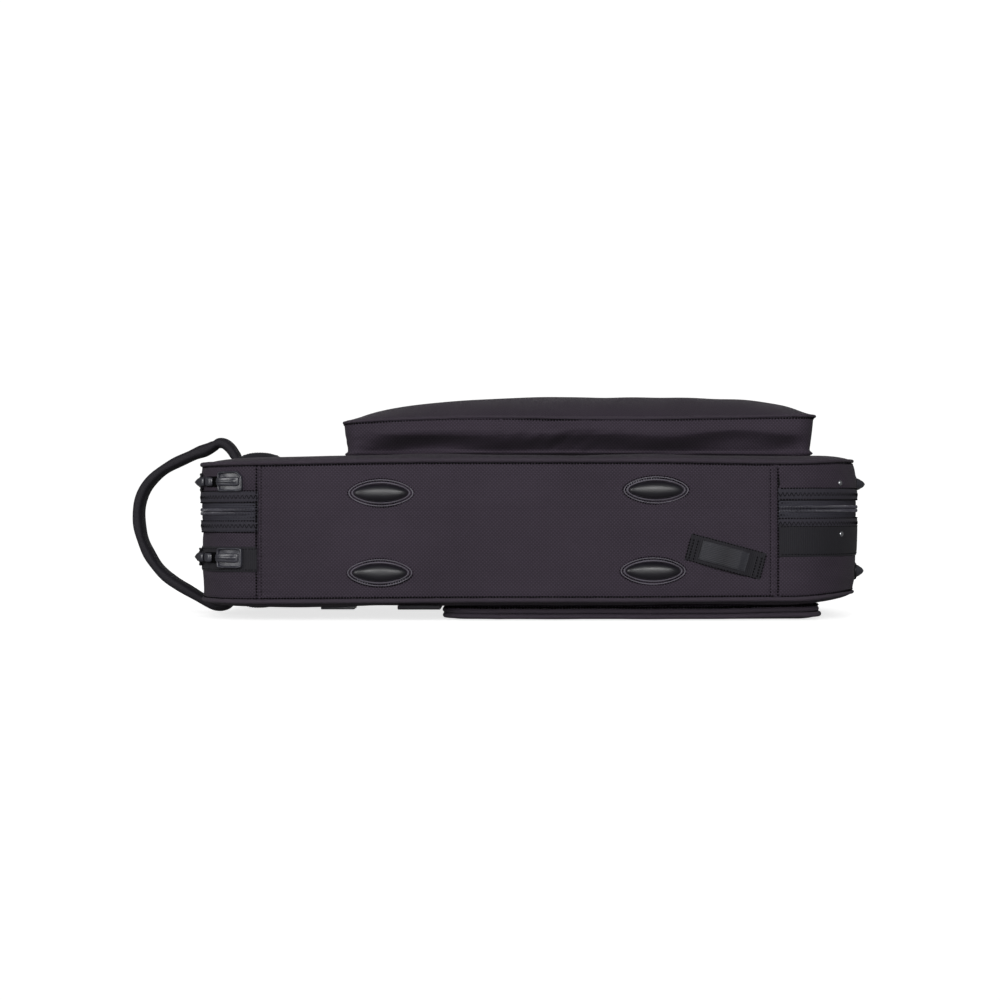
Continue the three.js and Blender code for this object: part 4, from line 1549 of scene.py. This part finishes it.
@dataclass
class Pocket:
    """A pocket sewn on a face: a slack wall, a piped rim, a cover, and a zip on its top side."""

    name: str
    body: str
    outline: Outline
    foot: Callable[[Array], Array]
    rim: Callable[[Array], Array]
    cover: Callable[[Array, Array], Array]
    side: int  # the way the pocket stands out: -1 or 1 along z
    profile: Callable[[Array, Array], Array]  # distance out, from the place and the share of the height
    cords: tuple[tuple[float, float, float], ...]  # each cord's height over the rim, radius and distance out
    padded: bool
    zip_height: float
    pull_size: float
    wall_run: float = 1.4  # metres, once round
    cover_run: float = 0.38  # metres, from end to end

    def wall(self) -> Piece:
        """Follows its profile from the face to the rim.

        Returns:
            The piece.
        """
        route = self.outline.route()
        s = route.ring(3.0)
        place, _ = route.at(s)
        x = place[:, :1]
        t = np.linspace(0, 1, 40)[None]
        z = self.foot(x) * (1 - t) + self.rim(x) * t
        points = np.concatenate([np.broadcast_to(place[:, None], (*z.shape, 2)), z[..., None]], -1)
        wall = route.wall(s, z, self.profile(points, t), flip=self.side < 0)
        return Piece(self.name + "_wall", [wall], Finishes.NYLON, self.body,
                     (self.name + "_gusset",), wall=1.1, closed=False)

    def piping(self) -> Piece:
        """A covered cord round the rim, and a second one above it where the wall is folded.

        Returns:
            The piece.
        """
        route = self.outline.route()
        tubes = []
        for number, (over, radius, out) in enumerate(self.cords):
            s = route.ring(2.5)
            place, _ = route.at(s)
            if number:
                s = s[: np.searchsorted(s, route.length)]
                near = place[: len(s), 1] < self.outline.far - 1
                turns = np.nonzero(~near)[0]
                s = np.concatenate([s[turns[-1] + 1:], s[1: turns[0]] + route.length])
                place, _ = route.at(s)
            turn = np.linspace(0, 2 * np.pi, 17)
            wobble = 0.3 * np.sin(s / 37) * np.sin(s / 23 + 1)
            right = self.outline.right
            flare = (1.2 - 2.7 * number) * smooth_step(place[:, :1], right - 40, right)
            z = self.rim(place[:, :1]) - self.side * over + wobble[:, None] + radius * np.sin(turn)
            tubes.append(route.wall(s, z, out + flare + radius * np.cos(turn)))
        return Piece(self.name + "_piping_cord", tubes, Finishes.NYLON_PIPING, self.body,
                     (self.name + "_piping",))

    def top(self) -> Piece:
        """The cover inside the piping.

        Returns:
            The piece.
        """
        edge = self.cords[0][2] - 0.6
        cap = self.outline.route().cap(lambda x: edge, self.cover, up=self.side > 0, rings=56)
        return Piece(self.name + "_cover", [cap], Finishes.NYLON, self.body,
                     (self.name + "_panel",), wall=1.4, closed=False)

    def stitching(self) -> Piece:
        """Thread beside the piping, in its crease.

        Returns:
            The piece.
        """
        route = self.outline.route()
        s = route.ring(2.0)
        x = route.at(s)[0][:, 0]
        rows = []
        for over, radius, out in self.cords:
            line = route.line(s, self.rim(x) - self.side * (over + radius + 0.8), out - 0.2)
            # Thick near-black thread, thickest on the back pocket, also stands for the shade between the
            # piped layers: painted shade.
            rows.append(topstitch(*line, 3.0, 0.4, 1.1 if self.side > 0 else 1.5))
        foot = self.foot(x) + self.side * 2.1
        at_foot = np.column_stack([route.at(s)[0], foot])
        out = self.profile(at_foot, np.full(len(s), 0.05)) + 1.0
        rows.append(topstitch(*route.line(s, foot, out), 3.0, 0.4, 0.9))
        return Piece(self.name + "_stitching", rows, Finishes.THREAD_AND_SEAM_SHADE, self.body)

    def zip(self) -> list[Piece]:
        """A straight zip along the top side: two tapes and two rows of coil.

        Returns:
            The tape and the two rows of coil.
        """
        left, right, y = self.outline.left + 24, self.outline.right - 24, self.outline.far + self.cords[0][2]
        middle, reach = self.zip_height, 3.2 * self.pull_size
        x = np.linspace(left, right, 120)
        path = np.column_stack([x, np.full_like(x, y + 1.0), np.full_like(x, middle)])
        tape = sweep(path, np.array([0.0, 0, 1]), superellipse(reach * 1.5, 0.5, 6.0, 24))
        rows = []
        for side in (-1, 1):
            u = np.arange(left + 2, right - 2, 0.2)
            phase = 2 * np.pi * u / 1.6
            line = np.column_stack([u, y + 1.7 + 0.7 * np.cos(phase),
                                    middle + self.pull_size * (side * 1.3 + 1.1 * np.sin(phase))])
            rows.append(sweep(line, np.array([0.0, 1, 0]), superellipse(0.3, 0.3, 2.0, 5)))
        return [Piece(self.name + "_zip_tape", [tape], Finishes.ZIP_TAPE, self.body,
                      (self.name + "_zip",)),
                Piece(self.name + "_zip_coil", rows, Finishes.COIL, self.body)]

    def build(self) -> None:
        """Builds the whole pocket."""
        wall = self.wall().build()
        cover = self.top().build()
        for piece in (self.piping(), self.stitching(), *self.zip()):
            piece.build()


def front_pocket() -> Pocket:
    """The deep padded pocket on the front face.

    Returns:
        The pocket.
    """
    left, right = FRONT_POCKET.left, FRONT_POCKET.right
    middle, half = (left + right) / 2, (right - left) / 2
    middle_y, half_y = (FRONT_POCKET.near + FRONT_POCKET.far) / 2, (FRONT_POCKET.far - FRONT_POCKET.near) / 2

    def rim(x: Array) -> Array:
        """The rim's height: a shallow cubic that climbs at the right, with a slow waver."""
        u = (x - middle) / half
        return 206.2 - 0.2 * u - 1.4 * u**2 + 2.9 * u**3 + 0.7 * np.sin(x / 52 + 2.4)

    def foot(x: Array) -> Array:
        """The foot rests on the swollen front face."""
        return front_edge(x) + 4.0

    def cover(x: Array, y: Array) -> Array:
        """The padded front over the rim, with l and r from each end and v from the middle line.

        It rises by 26.6 (1 - exp(-(l / 50)^0.75)) (1 - exp(-(r / 27)^0.75)) (1 - |v|^3), plus soft folds.

        Args:
            x: places along the case.
            y: places from the underside to the top.

        Returns:
            The height.
        """
        from_left, from_right = np.maximum(x - left, 0), np.maximum(right - x, 0)
        v = np.clip(abs(y - middle_y) / half_y, 0, 1)
        swell = (1 - np.exp(-((from_left / 50) ** 0.75))) * (1 - np.exp(-((from_right / 27) ** 0.75)))
        swell = swell * (1 - v**3)
        folds = soft_folds(np.stack([x, y, np.zeros_like(x)], -1), (160, 90, 100), 61)
        waver = 0.7 * np.sin(x / 52 + 2.4)
        return rim(x) + 1.4 - waver * swell + 26.6 * swell + 0.5 * folds * np.sqrt(swell)

    def profile(points: Array, t: Array) -> Array:
        """The wall leans in to its foot, and on the near side also falls away under the padded front.

        It is 2.4 - 5.2 (1 - t)^1.3 with a bulge of 3.2 mm two thirds up, less up to 20 mm below that, plus
        long soft folds, small crumples about x = 70 and a lip where it is turned under.

        Args:
            points: (..., 3) places on the upright wall.
            t: share of the way from the foot to the rim.

        Returns:
            The distance out from the outline.
        """
        x, y = points[..., 0], points[..., 1]
        inside = smooth_step(x, left, left + 60) * smooth_step(-x, -right, 34 - right)
        inside = inside * smooth_step(-y, -200, -90)
        folds = soft_folds(points, (200, 230, 40), 41)
        crumple = soft_folds(points, (44, 60, 26), 43) * np.exp(-(((x - 70) / 55) ** 2))
        crumple = crumple + 0.7 * soft_folds(points, (30, 60, 16), 45) * np.exp(
            -(((x + 140) / 30) ** 2) - t * 2)
        under = np.clip(1 - (t - 0.08 + 0.06 * folds) / 0.54, 0, 1) ** 1.2
        lip = 4.0 * np.exp(-(((t - 0.12) / 0.05) ** 2)) - 2.6 * np.exp(-t / 0.03)
        lean = 2.4 - 5.2 * (1 - t) ** 1.3 + 3.2 * inside * np.exp(-(((t - 0.66) / 0.18) ** 2))
        slack = np.sin(np.pi * t) * (0.9 * folds * inside + 1.1 * crumple)
        return lean - 20.0 * under * inside + lip + slack

    cords = ((0.0, 1.5, 2.5),)
    return Pocket("front_pocket", "lid", FRONT_POCKET, foot, rim, cover, 1, profile, cords, True, 188.0, 0.9)


def back_pocket() -> Pocket:
    """The thin pocket that the case lies on, folded in two piped layers.

    Returns:
        The pocket.
    """

    def rim(x: Array) -> Array:
        """The rim is just above the surface that the case lies on, and lifts by 2.4 mm at the right end."""
        return 3.7 + 2.4 * smooth_step(x, 190, 330) + 0.8 * smooth_step(-x, 0, 60)

    def foot(x: Array) -> Array:
        """The foot meets the back face."""
        return back_edge(x) - 2.0

    def cover(x: Array, y: Array) -> Array:
        """Pressed flat by the case's weight, and lifting at the rim."""
        return 0.15 + (rim(x) - 2.2) * np.exp(-BACK_POCKET.depth(x, y) / 8)

    def profile(points: Array, t: Array) -> Array:
        """Sunk by up to 4 mm between the case and the upper fold."""
        return -1.0 - 3.0 * np.exp(-(((t - 0.25) / 0.3) ** 2)) + 0.4 * soft_folds(points, (60, 60, 20), 47)

    return Pocket("back_pocket", "base", BACK_POCKET, foot, rim, cover, -1, profile,
                  ((0.0, 2.6, 0.2), (5.5, 2.7, 0.4)), False, 11.6, 0.7)


@dataclass
class EndLoop:
    """The padded strap across the left end, sewn to both faces."""

    near: float = 105.0
    width: float = 30.0
    thick: float = 5.3
    thin: float = 1.7
    patch_x: float = -257.0
    patch_half: float = 22.0

    def centre_line(self) -> Array:
        """The strap's middle, from the back face round to the front face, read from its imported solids.

        Their corner points are averaged round the loop's middle with a Gaussian of 3.2 degrees, so the inner
        and the outer face cancel out, and smoothed. The strap is pinched up by 5.5 mm where it folds down to
        the front face.

        Returns:
            (N, 2) of x and z.
        """
        found = [o for o in bpy.data.objects if o.get("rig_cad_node") in ("end_loop", "end_loop_tail")]
        corners = np.concatenate([np.array([v.co for v in o.data.vertices]) for o in found]) / MM
        corners = np.unique(np.round(corners - MAKER_TO_SHARED, 2)[:, [0, 2]], axis=0)
        middle = np.array([-296.0, 94.0])
        rel = corners - middle
        angle = np.mod(np.arctan2(rel[:, 1], rel[:, 0]), 2 * np.pi)
        radius = np.hypot(rel[:, 0], rel[:, 1])
        fine = np.linspace(angle.max(), angle.min(), 900)
        kernel = np.exp(-(((angle[None] - fine[:, None]) / np.radians(3.2)) ** 2))
        r = (kernel * radius).sum(1) / kernel.sum(1)
        r = np.convolve(np.pad(r, 30, mode="edge"), np.hanning(61) / np.hanning(61).sum(), mode="valid")
        line = middle + r[:, None] * np.stack([np.cos(fine), np.sin(fine)], -1)
        front = line[:, 1] > 150
        line[:, 1] += front * (5.5 * np.exp(-(((line[:, 0] + 297) / 11) ** 2))
                               - 5.5 * smooth_step(line[:, 0], -290, -278))
        return line

    def build(self) -> None:
        """Builds the strap in one piece from face to face, and the webbing patch over each end."""
        line = self.centre_line()
        s = distances(line)
        marks = np.linspace(0, s[-1], 190)
        path = np.column_stack([np.interp(marks, s, line[:, 0]), np.full(190, self.near + self.width / 2),
                                np.interp(marks, s, line[:, 1])])
        full = smooth_step(marks, 2, 16) * smooth_step(s[-1] - marks, -6, 7)
        # Beside the fold the padding is pushed up, and at the fold it is creased.
        full += 0.42 * np.exp(-(((s[-1] - marks - 48) / 9) ** 2))
        full -= 0.28 * np.exp(-(((s[-1] - marks - 33) / 2.0) ** 2))
        thick = self.thin + (self.thick - self.thin) * full
        ring = superellipse(self.width / 2 * (1 - 0.06 * full), thick, 2.9, 40)
        rumple = soft_folds(np.stack([marks, 0 * marks, 0 * marks], -1), (26, 20, 20), 9)
        ring[..., 1] *= 1 + 0.05 * rumple[:, None]
        strap = Piece("end_loop_strap", [sweep(path, np.array([0.0, 1, 0]), ring)], Finishes.STRAP, "",
                      ("end_loop", "end_loop_tail")).build()
        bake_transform(strap)
        self.patch("loop_patch_back", "base", 13.6, -1)
        self.patch("loop_patch_front", "lid", 167.0, 1)

    def hump(self, x: Array, y: Array) -> Array:
        """The patch's rise over the strap end: 1 + 5.4 (1 - |u|^2.4) (1 - v^4), from its middle.

        Args:
            x: places along the case.
            y: places from the underside to the top.

        Returns:
            The rise over the strap.
        """
        u = np.clip((x - self.patch_x) / self.patch_half, -1, 1)
        v = np.clip((y - self.near - self.width / 2) / 19, -1, 1)
        return 1.0 + 5.4 * (1 - abs(u) ** 2.4) * (1 - v**4)

    def patch(self, name: str, body: str, z: float, up: int) -> None:
        """The webbing square that covers a strap end, humped over it, with a boxed cross of thread.

        Args:
            name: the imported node.
            body: the body that carries it.
            z: its height.
            up: the way it faces.
        """
        x = np.linspace(self.patch_x - self.patch_half, self.patch_x + self.patch_half, 44)
        y = np.linspace(self.near - 4, self.near + self.width + 4, 34)
        xs, ys = np.meshgrid(x, y, indexing="ij")
        top = np.stack([xs, ys, z + up * self.hump(xs, ys)], -1)
        under = np.stack([xs, ys, np.full_like(xs, z - 3.5 * up)], -1)
        shell = np.concatenate([under[:1], top, under[-1:]])
        rim = np.concatenate([under[:1], under, under[-1:]])
        shell = np.concatenate([rim[:, :1], shell, rim[:, -1:]], 1)
        patches = [Patch.grid(shell, shell[..., :2]), Patch.grid(under, under[..., :2], flip=True)]
        Piece(name + "_webbing", patches, Finishes.WEBBING, body, (name,)).build()
        turns = np.array([[-1, -1], [1, -1], [1, 1], [-1, 1], [-1, -1], [1, 1]])
        t = np.linspace(0, len(turns) - 1.001, 200)
        low = t.astype(int)
        mix = turns[low] * (1 - (t - low))[:, None] + turns[low + 1] * (t - low)[:, None]
        px, py = self.patch_x + 17 * mix[:, 0], self.near + self.width / 2 + 14 * mix[:, 1]
        path = np.column_stack([px, py, z + up * (self.hump(px, py) + 0.15)])
        row = topstitch(path, np.array([0.0, 0, up]))
        Piece(name + "_stitching", [row], Finishes.THREAD_AND_SEAM_SHADE, body).build()


@dataclass
class BottomTab:
    """A short webbing loop, sewn down at both ends and standing proud in the middle."""

    x: float = 225.6
    z: float = 65.4
    tilt: float = 15.0
    half: float = 38.8
    half_width: float = 13.6

    def place(self, u: Array, v: Array, d: Array) -> Array:
        """Turns (along the tab, across it, out of the cloth) into the maker's frame."""
        c, s = math.cos(math.radians(self.tilt)), math.sin(math.radians(self.tilt))
        return np.stack([self.x + u * c + v * s, -d, self.z - u * s + v * c], -1)

    def build(self) -> None:
        """Builds the sewn strap, the raised satin loop over it, and the rows of stitches at its ends."""
        u = np.linspace(-self.half, self.half, 100)
        rise = 0.9 + 2.2 * smooth_step(self.half - abs(u), 10, 22)
        self.band("bottom_tab_webbing", u, rise, self.half_width, Finishes.WEBBING, ("bottom_tab",))
        inner = np.linspace(-26, 22, 70)
        rise = 2.9 + 1.5 * smooth_step(24 - abs(inner + 2), 0, 9)
        self.band("bottom_tab_loop", inner, rise, 9.6, Finishes.SATIN, ())
        rows = []
        for side in (-1, 1):
            for inset in (0.3, 3.6, 8.2):
                v = np.linspace(-12, 12, 40)
                path = self.place(np.full_like(v, side * (self.half - inset)), v, np.full_like(v, 1.95))
                rows.append(topstitch(path, OUT_OF_UNDERSIDE, 3.0, 0.8, 0.7))
            for v0 in (-13.2, 13.2):
                along = np.linspace(-self.half + 1, self.half - 1, 60)
                path = self.place(along, np.full_like(along, v0),
                                  1.2 + 2.2 * smooth_step(self.half - abs(along), 10, 22))
                rows.append(topstitch(path, OUT_OF_UNDERSIDE, 3.2, 0.6, 0.7))
        Piece("bottom_tab_stitching", rows, Finishes.THREAD_AND_SEAM_SHADE, "base").build()

    def band(
        self, name: str, u: Array, rise: Array, half: float, finish: "Finishes", nodes: tuple[str, ...]
    ) -> None:
        """A band of webbing along the tab: a flat superellipse carried along u at the given height.

        Args:
            name: the piece's name.
            u: (N,) places along the tab.
            rise: (N,) height over the cloth.
            half: half its width.
            finish: its finish.
            nodes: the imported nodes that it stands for.
        """
        bow = 1 + 0.03 * (1 - (u / abs(u).max()) ** 2)
        ring = superellipse(half * bow, np.full_like(u, 0.95), 5.0, 32)
        high = rise[:, None] + ring[..., 1] - 0.35 * (ring[..., 0] / half) ** 2
        points = self.place(np.broadcast_to(u[:, None], high.shape), ring[..., 0], high)
        caps = [np.broadcast_to(points[i, :-1].mean(0), points[0].shape)[None] for i in (0, -1)]
        points = np.concatenate([caps[0], points, caps[1]])
        along = np.broadcast_to(np.concatenate([u[:1], u, u[-1:]])[:, None], points.shape[:2])
        across = np.broadcast_to(ring[0, :, 0], points.shape[:2])
        Piece(name, [Patch.grid(points, np.stack([along, across], -1))], finish, "base", nodes).build()


@dataclass
class CarryHandle:
    """The moulded grip on the top: two arms that turn on pins, and a bar with finger waves."""

    x: float = 33.0
    pivot_y: float = 311.5
    spacing: float = 144.0
    reach: float = 45.0
    length: float = 164.0

    def build(self) -> None:
        """Builds the grip as a superellipse swept along x, and each arm with its eye."""
        z0 = float(belt_line(np.array(self.x)))
        u = np.sin(np.linspace(-np.pi / 2, np.pi / 2, 90))
        x = u * self.length / 2
        end = np.maximum(1 - abs(u) ** 7, 0) ** 0.5
        waves = 0.9 * np.cos(x / 22 * 2 * np.pi) * smooth_step(62 - abs(x), 0, 16)
        ring = superellipse(13.0 * end + 0.01, 7.2 * end**0.8 + 0.01, 2.6, 36)
        lower = ring[..., 0] < 0
        ring[..., 0] += np.where(lower, waves[:, None] * end[:, None], 0)
        points = np.stack([self.x + np.broadcast_to(x[:, None], ring.shape[:2]), self.pivot_y + ring[..., 1],
                           z0 - self.reach + ring[..., 0]], -1)
        patches = [Patch.grid(points)]
        for side in (-1, 1):
            t = np.linspace(-self.reach, 0, 14)
            arm_x = self.x + side * self.spacing / 2
            path = np.column_stack([np.full(14, arm_x), np.full(14, self.pivot_y), z0 + t])
            section = superellipse(8.0 - 1.0 * smooth_step(t, -30, 0), np.full(14, 2.9), 3.5, 24)
            patches.append(sweep(path, np.array([1.0, 0, 0]), section))
            across = np.array([-8, -7.6, -6, 0, 6, 7.6, 8.0])
            radius = np.array([4.4, 5.2, 5.6, 5.7, 5.6, 5.2, 4.4])
            turn = np.linspace(0, 2 * np.pi, 33)
            hub = np.stack([np.broadcast_to(arm_x + across[:, None], (7, 33)),
                            self.pivot_y + radius[:, None] * np.cos(turn),
                            z0 + radius[:, None] * np.sin(turn)], -1)
            bore = hub[::-1].copy()
            bore[..., 1:] = [self.pivot_y, z0] + (bore[..., 1:] - [self.pivot_y, z0]) * (
                3.0 / radius[::-1, None, None])
            patches.append(Patch.grid(np.concatenate([hub, bore, hub[:1]])))
        Piece("carry_handle_grip", patches, Finishes.MOULDED, "carry_handle",
              ("carry_handle",)).build()
        for name in ("handle_bracket_left", "handle_bracket_right"):
            rounded_node(name, Finishes.MOULDED, "base", 0.8)


@dataclass
class Fittings:
    """The small hard parts: anchors, rings, sliders, pulls, rivets, the strap slide and the back band."""

    def build(self) -> None:
        """Builds the anchors and rivets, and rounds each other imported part."""
        for anchor in strap_anchors():
            anchor.build()
        for half, z, lift in (("lid", 139.3, 0.8), ("base", 87.7, 2.2)):
            Rivet("rivet_" + half, half, z, lift).build()
        for zip_name in ("zip_left", "zip_right", "front_pocket_zip", "back_pocket_zip"):
            for part in ("_slider", "_pull"):
                rounded_node(zip_name + part, Finishes.LACQUERED, zip_name + part, 0.4)
        # The back face sags 5 mm below its piping, and carries these two down with it.
        rounded_node("back_strap_slide", Finishes.MOULDED, "base", 0.6, -4.6)
        rounded_node("back_webbing_band", Finishes.STRAP, "base", 1.2, -3.2)


@dataclass
class Studio:
    """A pale floor, soft light and the camera, square on to the underside."""

    distance: float = 1600.0
    eye: float = 113.0
    lens: float = 57.6

    def camera(self) -> None:
        """The camera looks along +y, level, 113 mm above the floor."""
        data = bpy.data.cameras.new("camera")
        data.lens, data.sensor_width, data.shift_y = self.lens, 36.0, 0.009
        data.clip_end = 100
        camera = add_object("camera", data)
        camera.location = shared(0, -self.distance, self.eye)
        camera.rotation_euler = (math.radians(90), 0, 0)
        bpy.context.scene.camera = camera

    def light(
        self, name: str, place: tuple[float, float, float], size: tuple[float, float], power: float
    ) -> bpy.types.Object:
        """A soft box aimed at the case's middle.

        Args:
            name: of the light.
            place: of its middle, in metres.
            size: its width and height, in metres.
            power: in watts.

        Returns:
            The light.
        """
        data = bpy.data.lights.new(name, "AREA")
        data.shape, data.energy = "RECTANGLE", power
        data.size, data.size_y = size
        lamp = add_object(name, data)
        lamp.location = place
        lamp.rotation_euler = (Vector((0, 0, 0.1)) - Vector(place)).to_track_quat("-Z", "Y").to_euler()
        return lamp

    def floor(self) -> None:
        """Lays pale paper under the case, with a glow of its own that keeps the contact shadow pale."""
        mesh = bpy.data.meshes.new("floor")
        corners = [(-1.5, -1.3, 0), (1.5, -1.3, 0), (1.5, 0.9, 0), (-1.5, 0.9, 0)]
        mesh.from_pydata(corners, [], [(0, 1, 2, 3)])
        sheet = add_object("floor", mesh)
        paper = bpy.data.materials.new("lit_studio_paper")
        paper.use_nodes = True
        paper.node_tree.nodes.clear()
        shader = add_node(paper.node_tree, "BsdfPrincipled", {
            "Base Color": (0.8, 0.8, 0.8, 1), "Roughness": 1.0, "Specular IOR Level": 0.0,
            "Emission Color": (1, 1, 1, 1), "Emission Strength": 0.75})
        add_node(paper.node_tree, "OutputMaterial", {"Surface": shader.outputs["BSDF"]})
        mesh.materials.append(paper)
        sheet.visible_diffuse = sheet.visible_glossy = False

    def surround(self) -> None:
        """Makes the world white to the camera and dim to everything else."""
        world = bpy.data.worlds.new("surround")
        world.use_nodes = True
        world.node_tree.nodes.clear()
        node = partial(add_node, world.node_tree)
        seen = node("LightPath").outputs["Is Camera Ray"]
        strength = node("MapRange", {"Value": seen, "To Min": 0.1, "To Max": 1.05}).outputs[0]
        sky = node("Background", {"Color": (1, 1, 1, 1), "Strength": strength})
        node("OutputWorld", {"Surface": sky.outputs["Background"]})
        bpy.context.scene.world = world
        bpy.context.scene.view_settings.view_transform = "Standard"

    def build(self) -> None:
        """Builds the floor, the lights, the white surround and the camera."""
        self.floor()
        self.light("overhead", (0.0, 0.1, 2.2), (2.6, 2.2), 1.5).visible_glossy = False
        self.light("front_strip", (0.0, -2.6, 0.75), (2.8, 0.8), 31)
        self.light("front_fill", (0.0, -2.8, 1.6), (3.0, 1.2), 33).visible_glossy = False
        self.light("left_box", (-2.3, -1.5, 0.6), (0.9, 1.2), 11)
        self.light("back_fill", (0.3, 2.8, 1.3), (3.0, 1.2), 40).visible_glossy = False
        self.surround()
        self.camera()


def main() -> None:
    """Builds the case, sub-assembly by sub-assembly."""
    logging.basicConfig(level=logging.INFO, format="%(message)s")
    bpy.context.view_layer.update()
    Studio().build()
    UndersidePanel().build()
    HalfShell("base", "back", -1, 6.5, 9.0, 33.6).build()
    HalfShell("lid", "front", 1, 7.5, 18.0, 149.5).build()
    Belt().build()
    front_pocket().build()
    back_pocket().build()
    for half, end, nudge in (("lid", "left", (0, 0)), ("lid", "right", (0, 0)),
                             ("base", "left", (-1.2, -1.8)), ("base", "right", (0, 0))):
        Foot(f"foot_{half}_{end}", half, nudge).build()
    EndLoop().build()
    BottomTab().build()
    CarryHandle().build()
    Fittings().build()


if __name__ == "__main__":
    main()
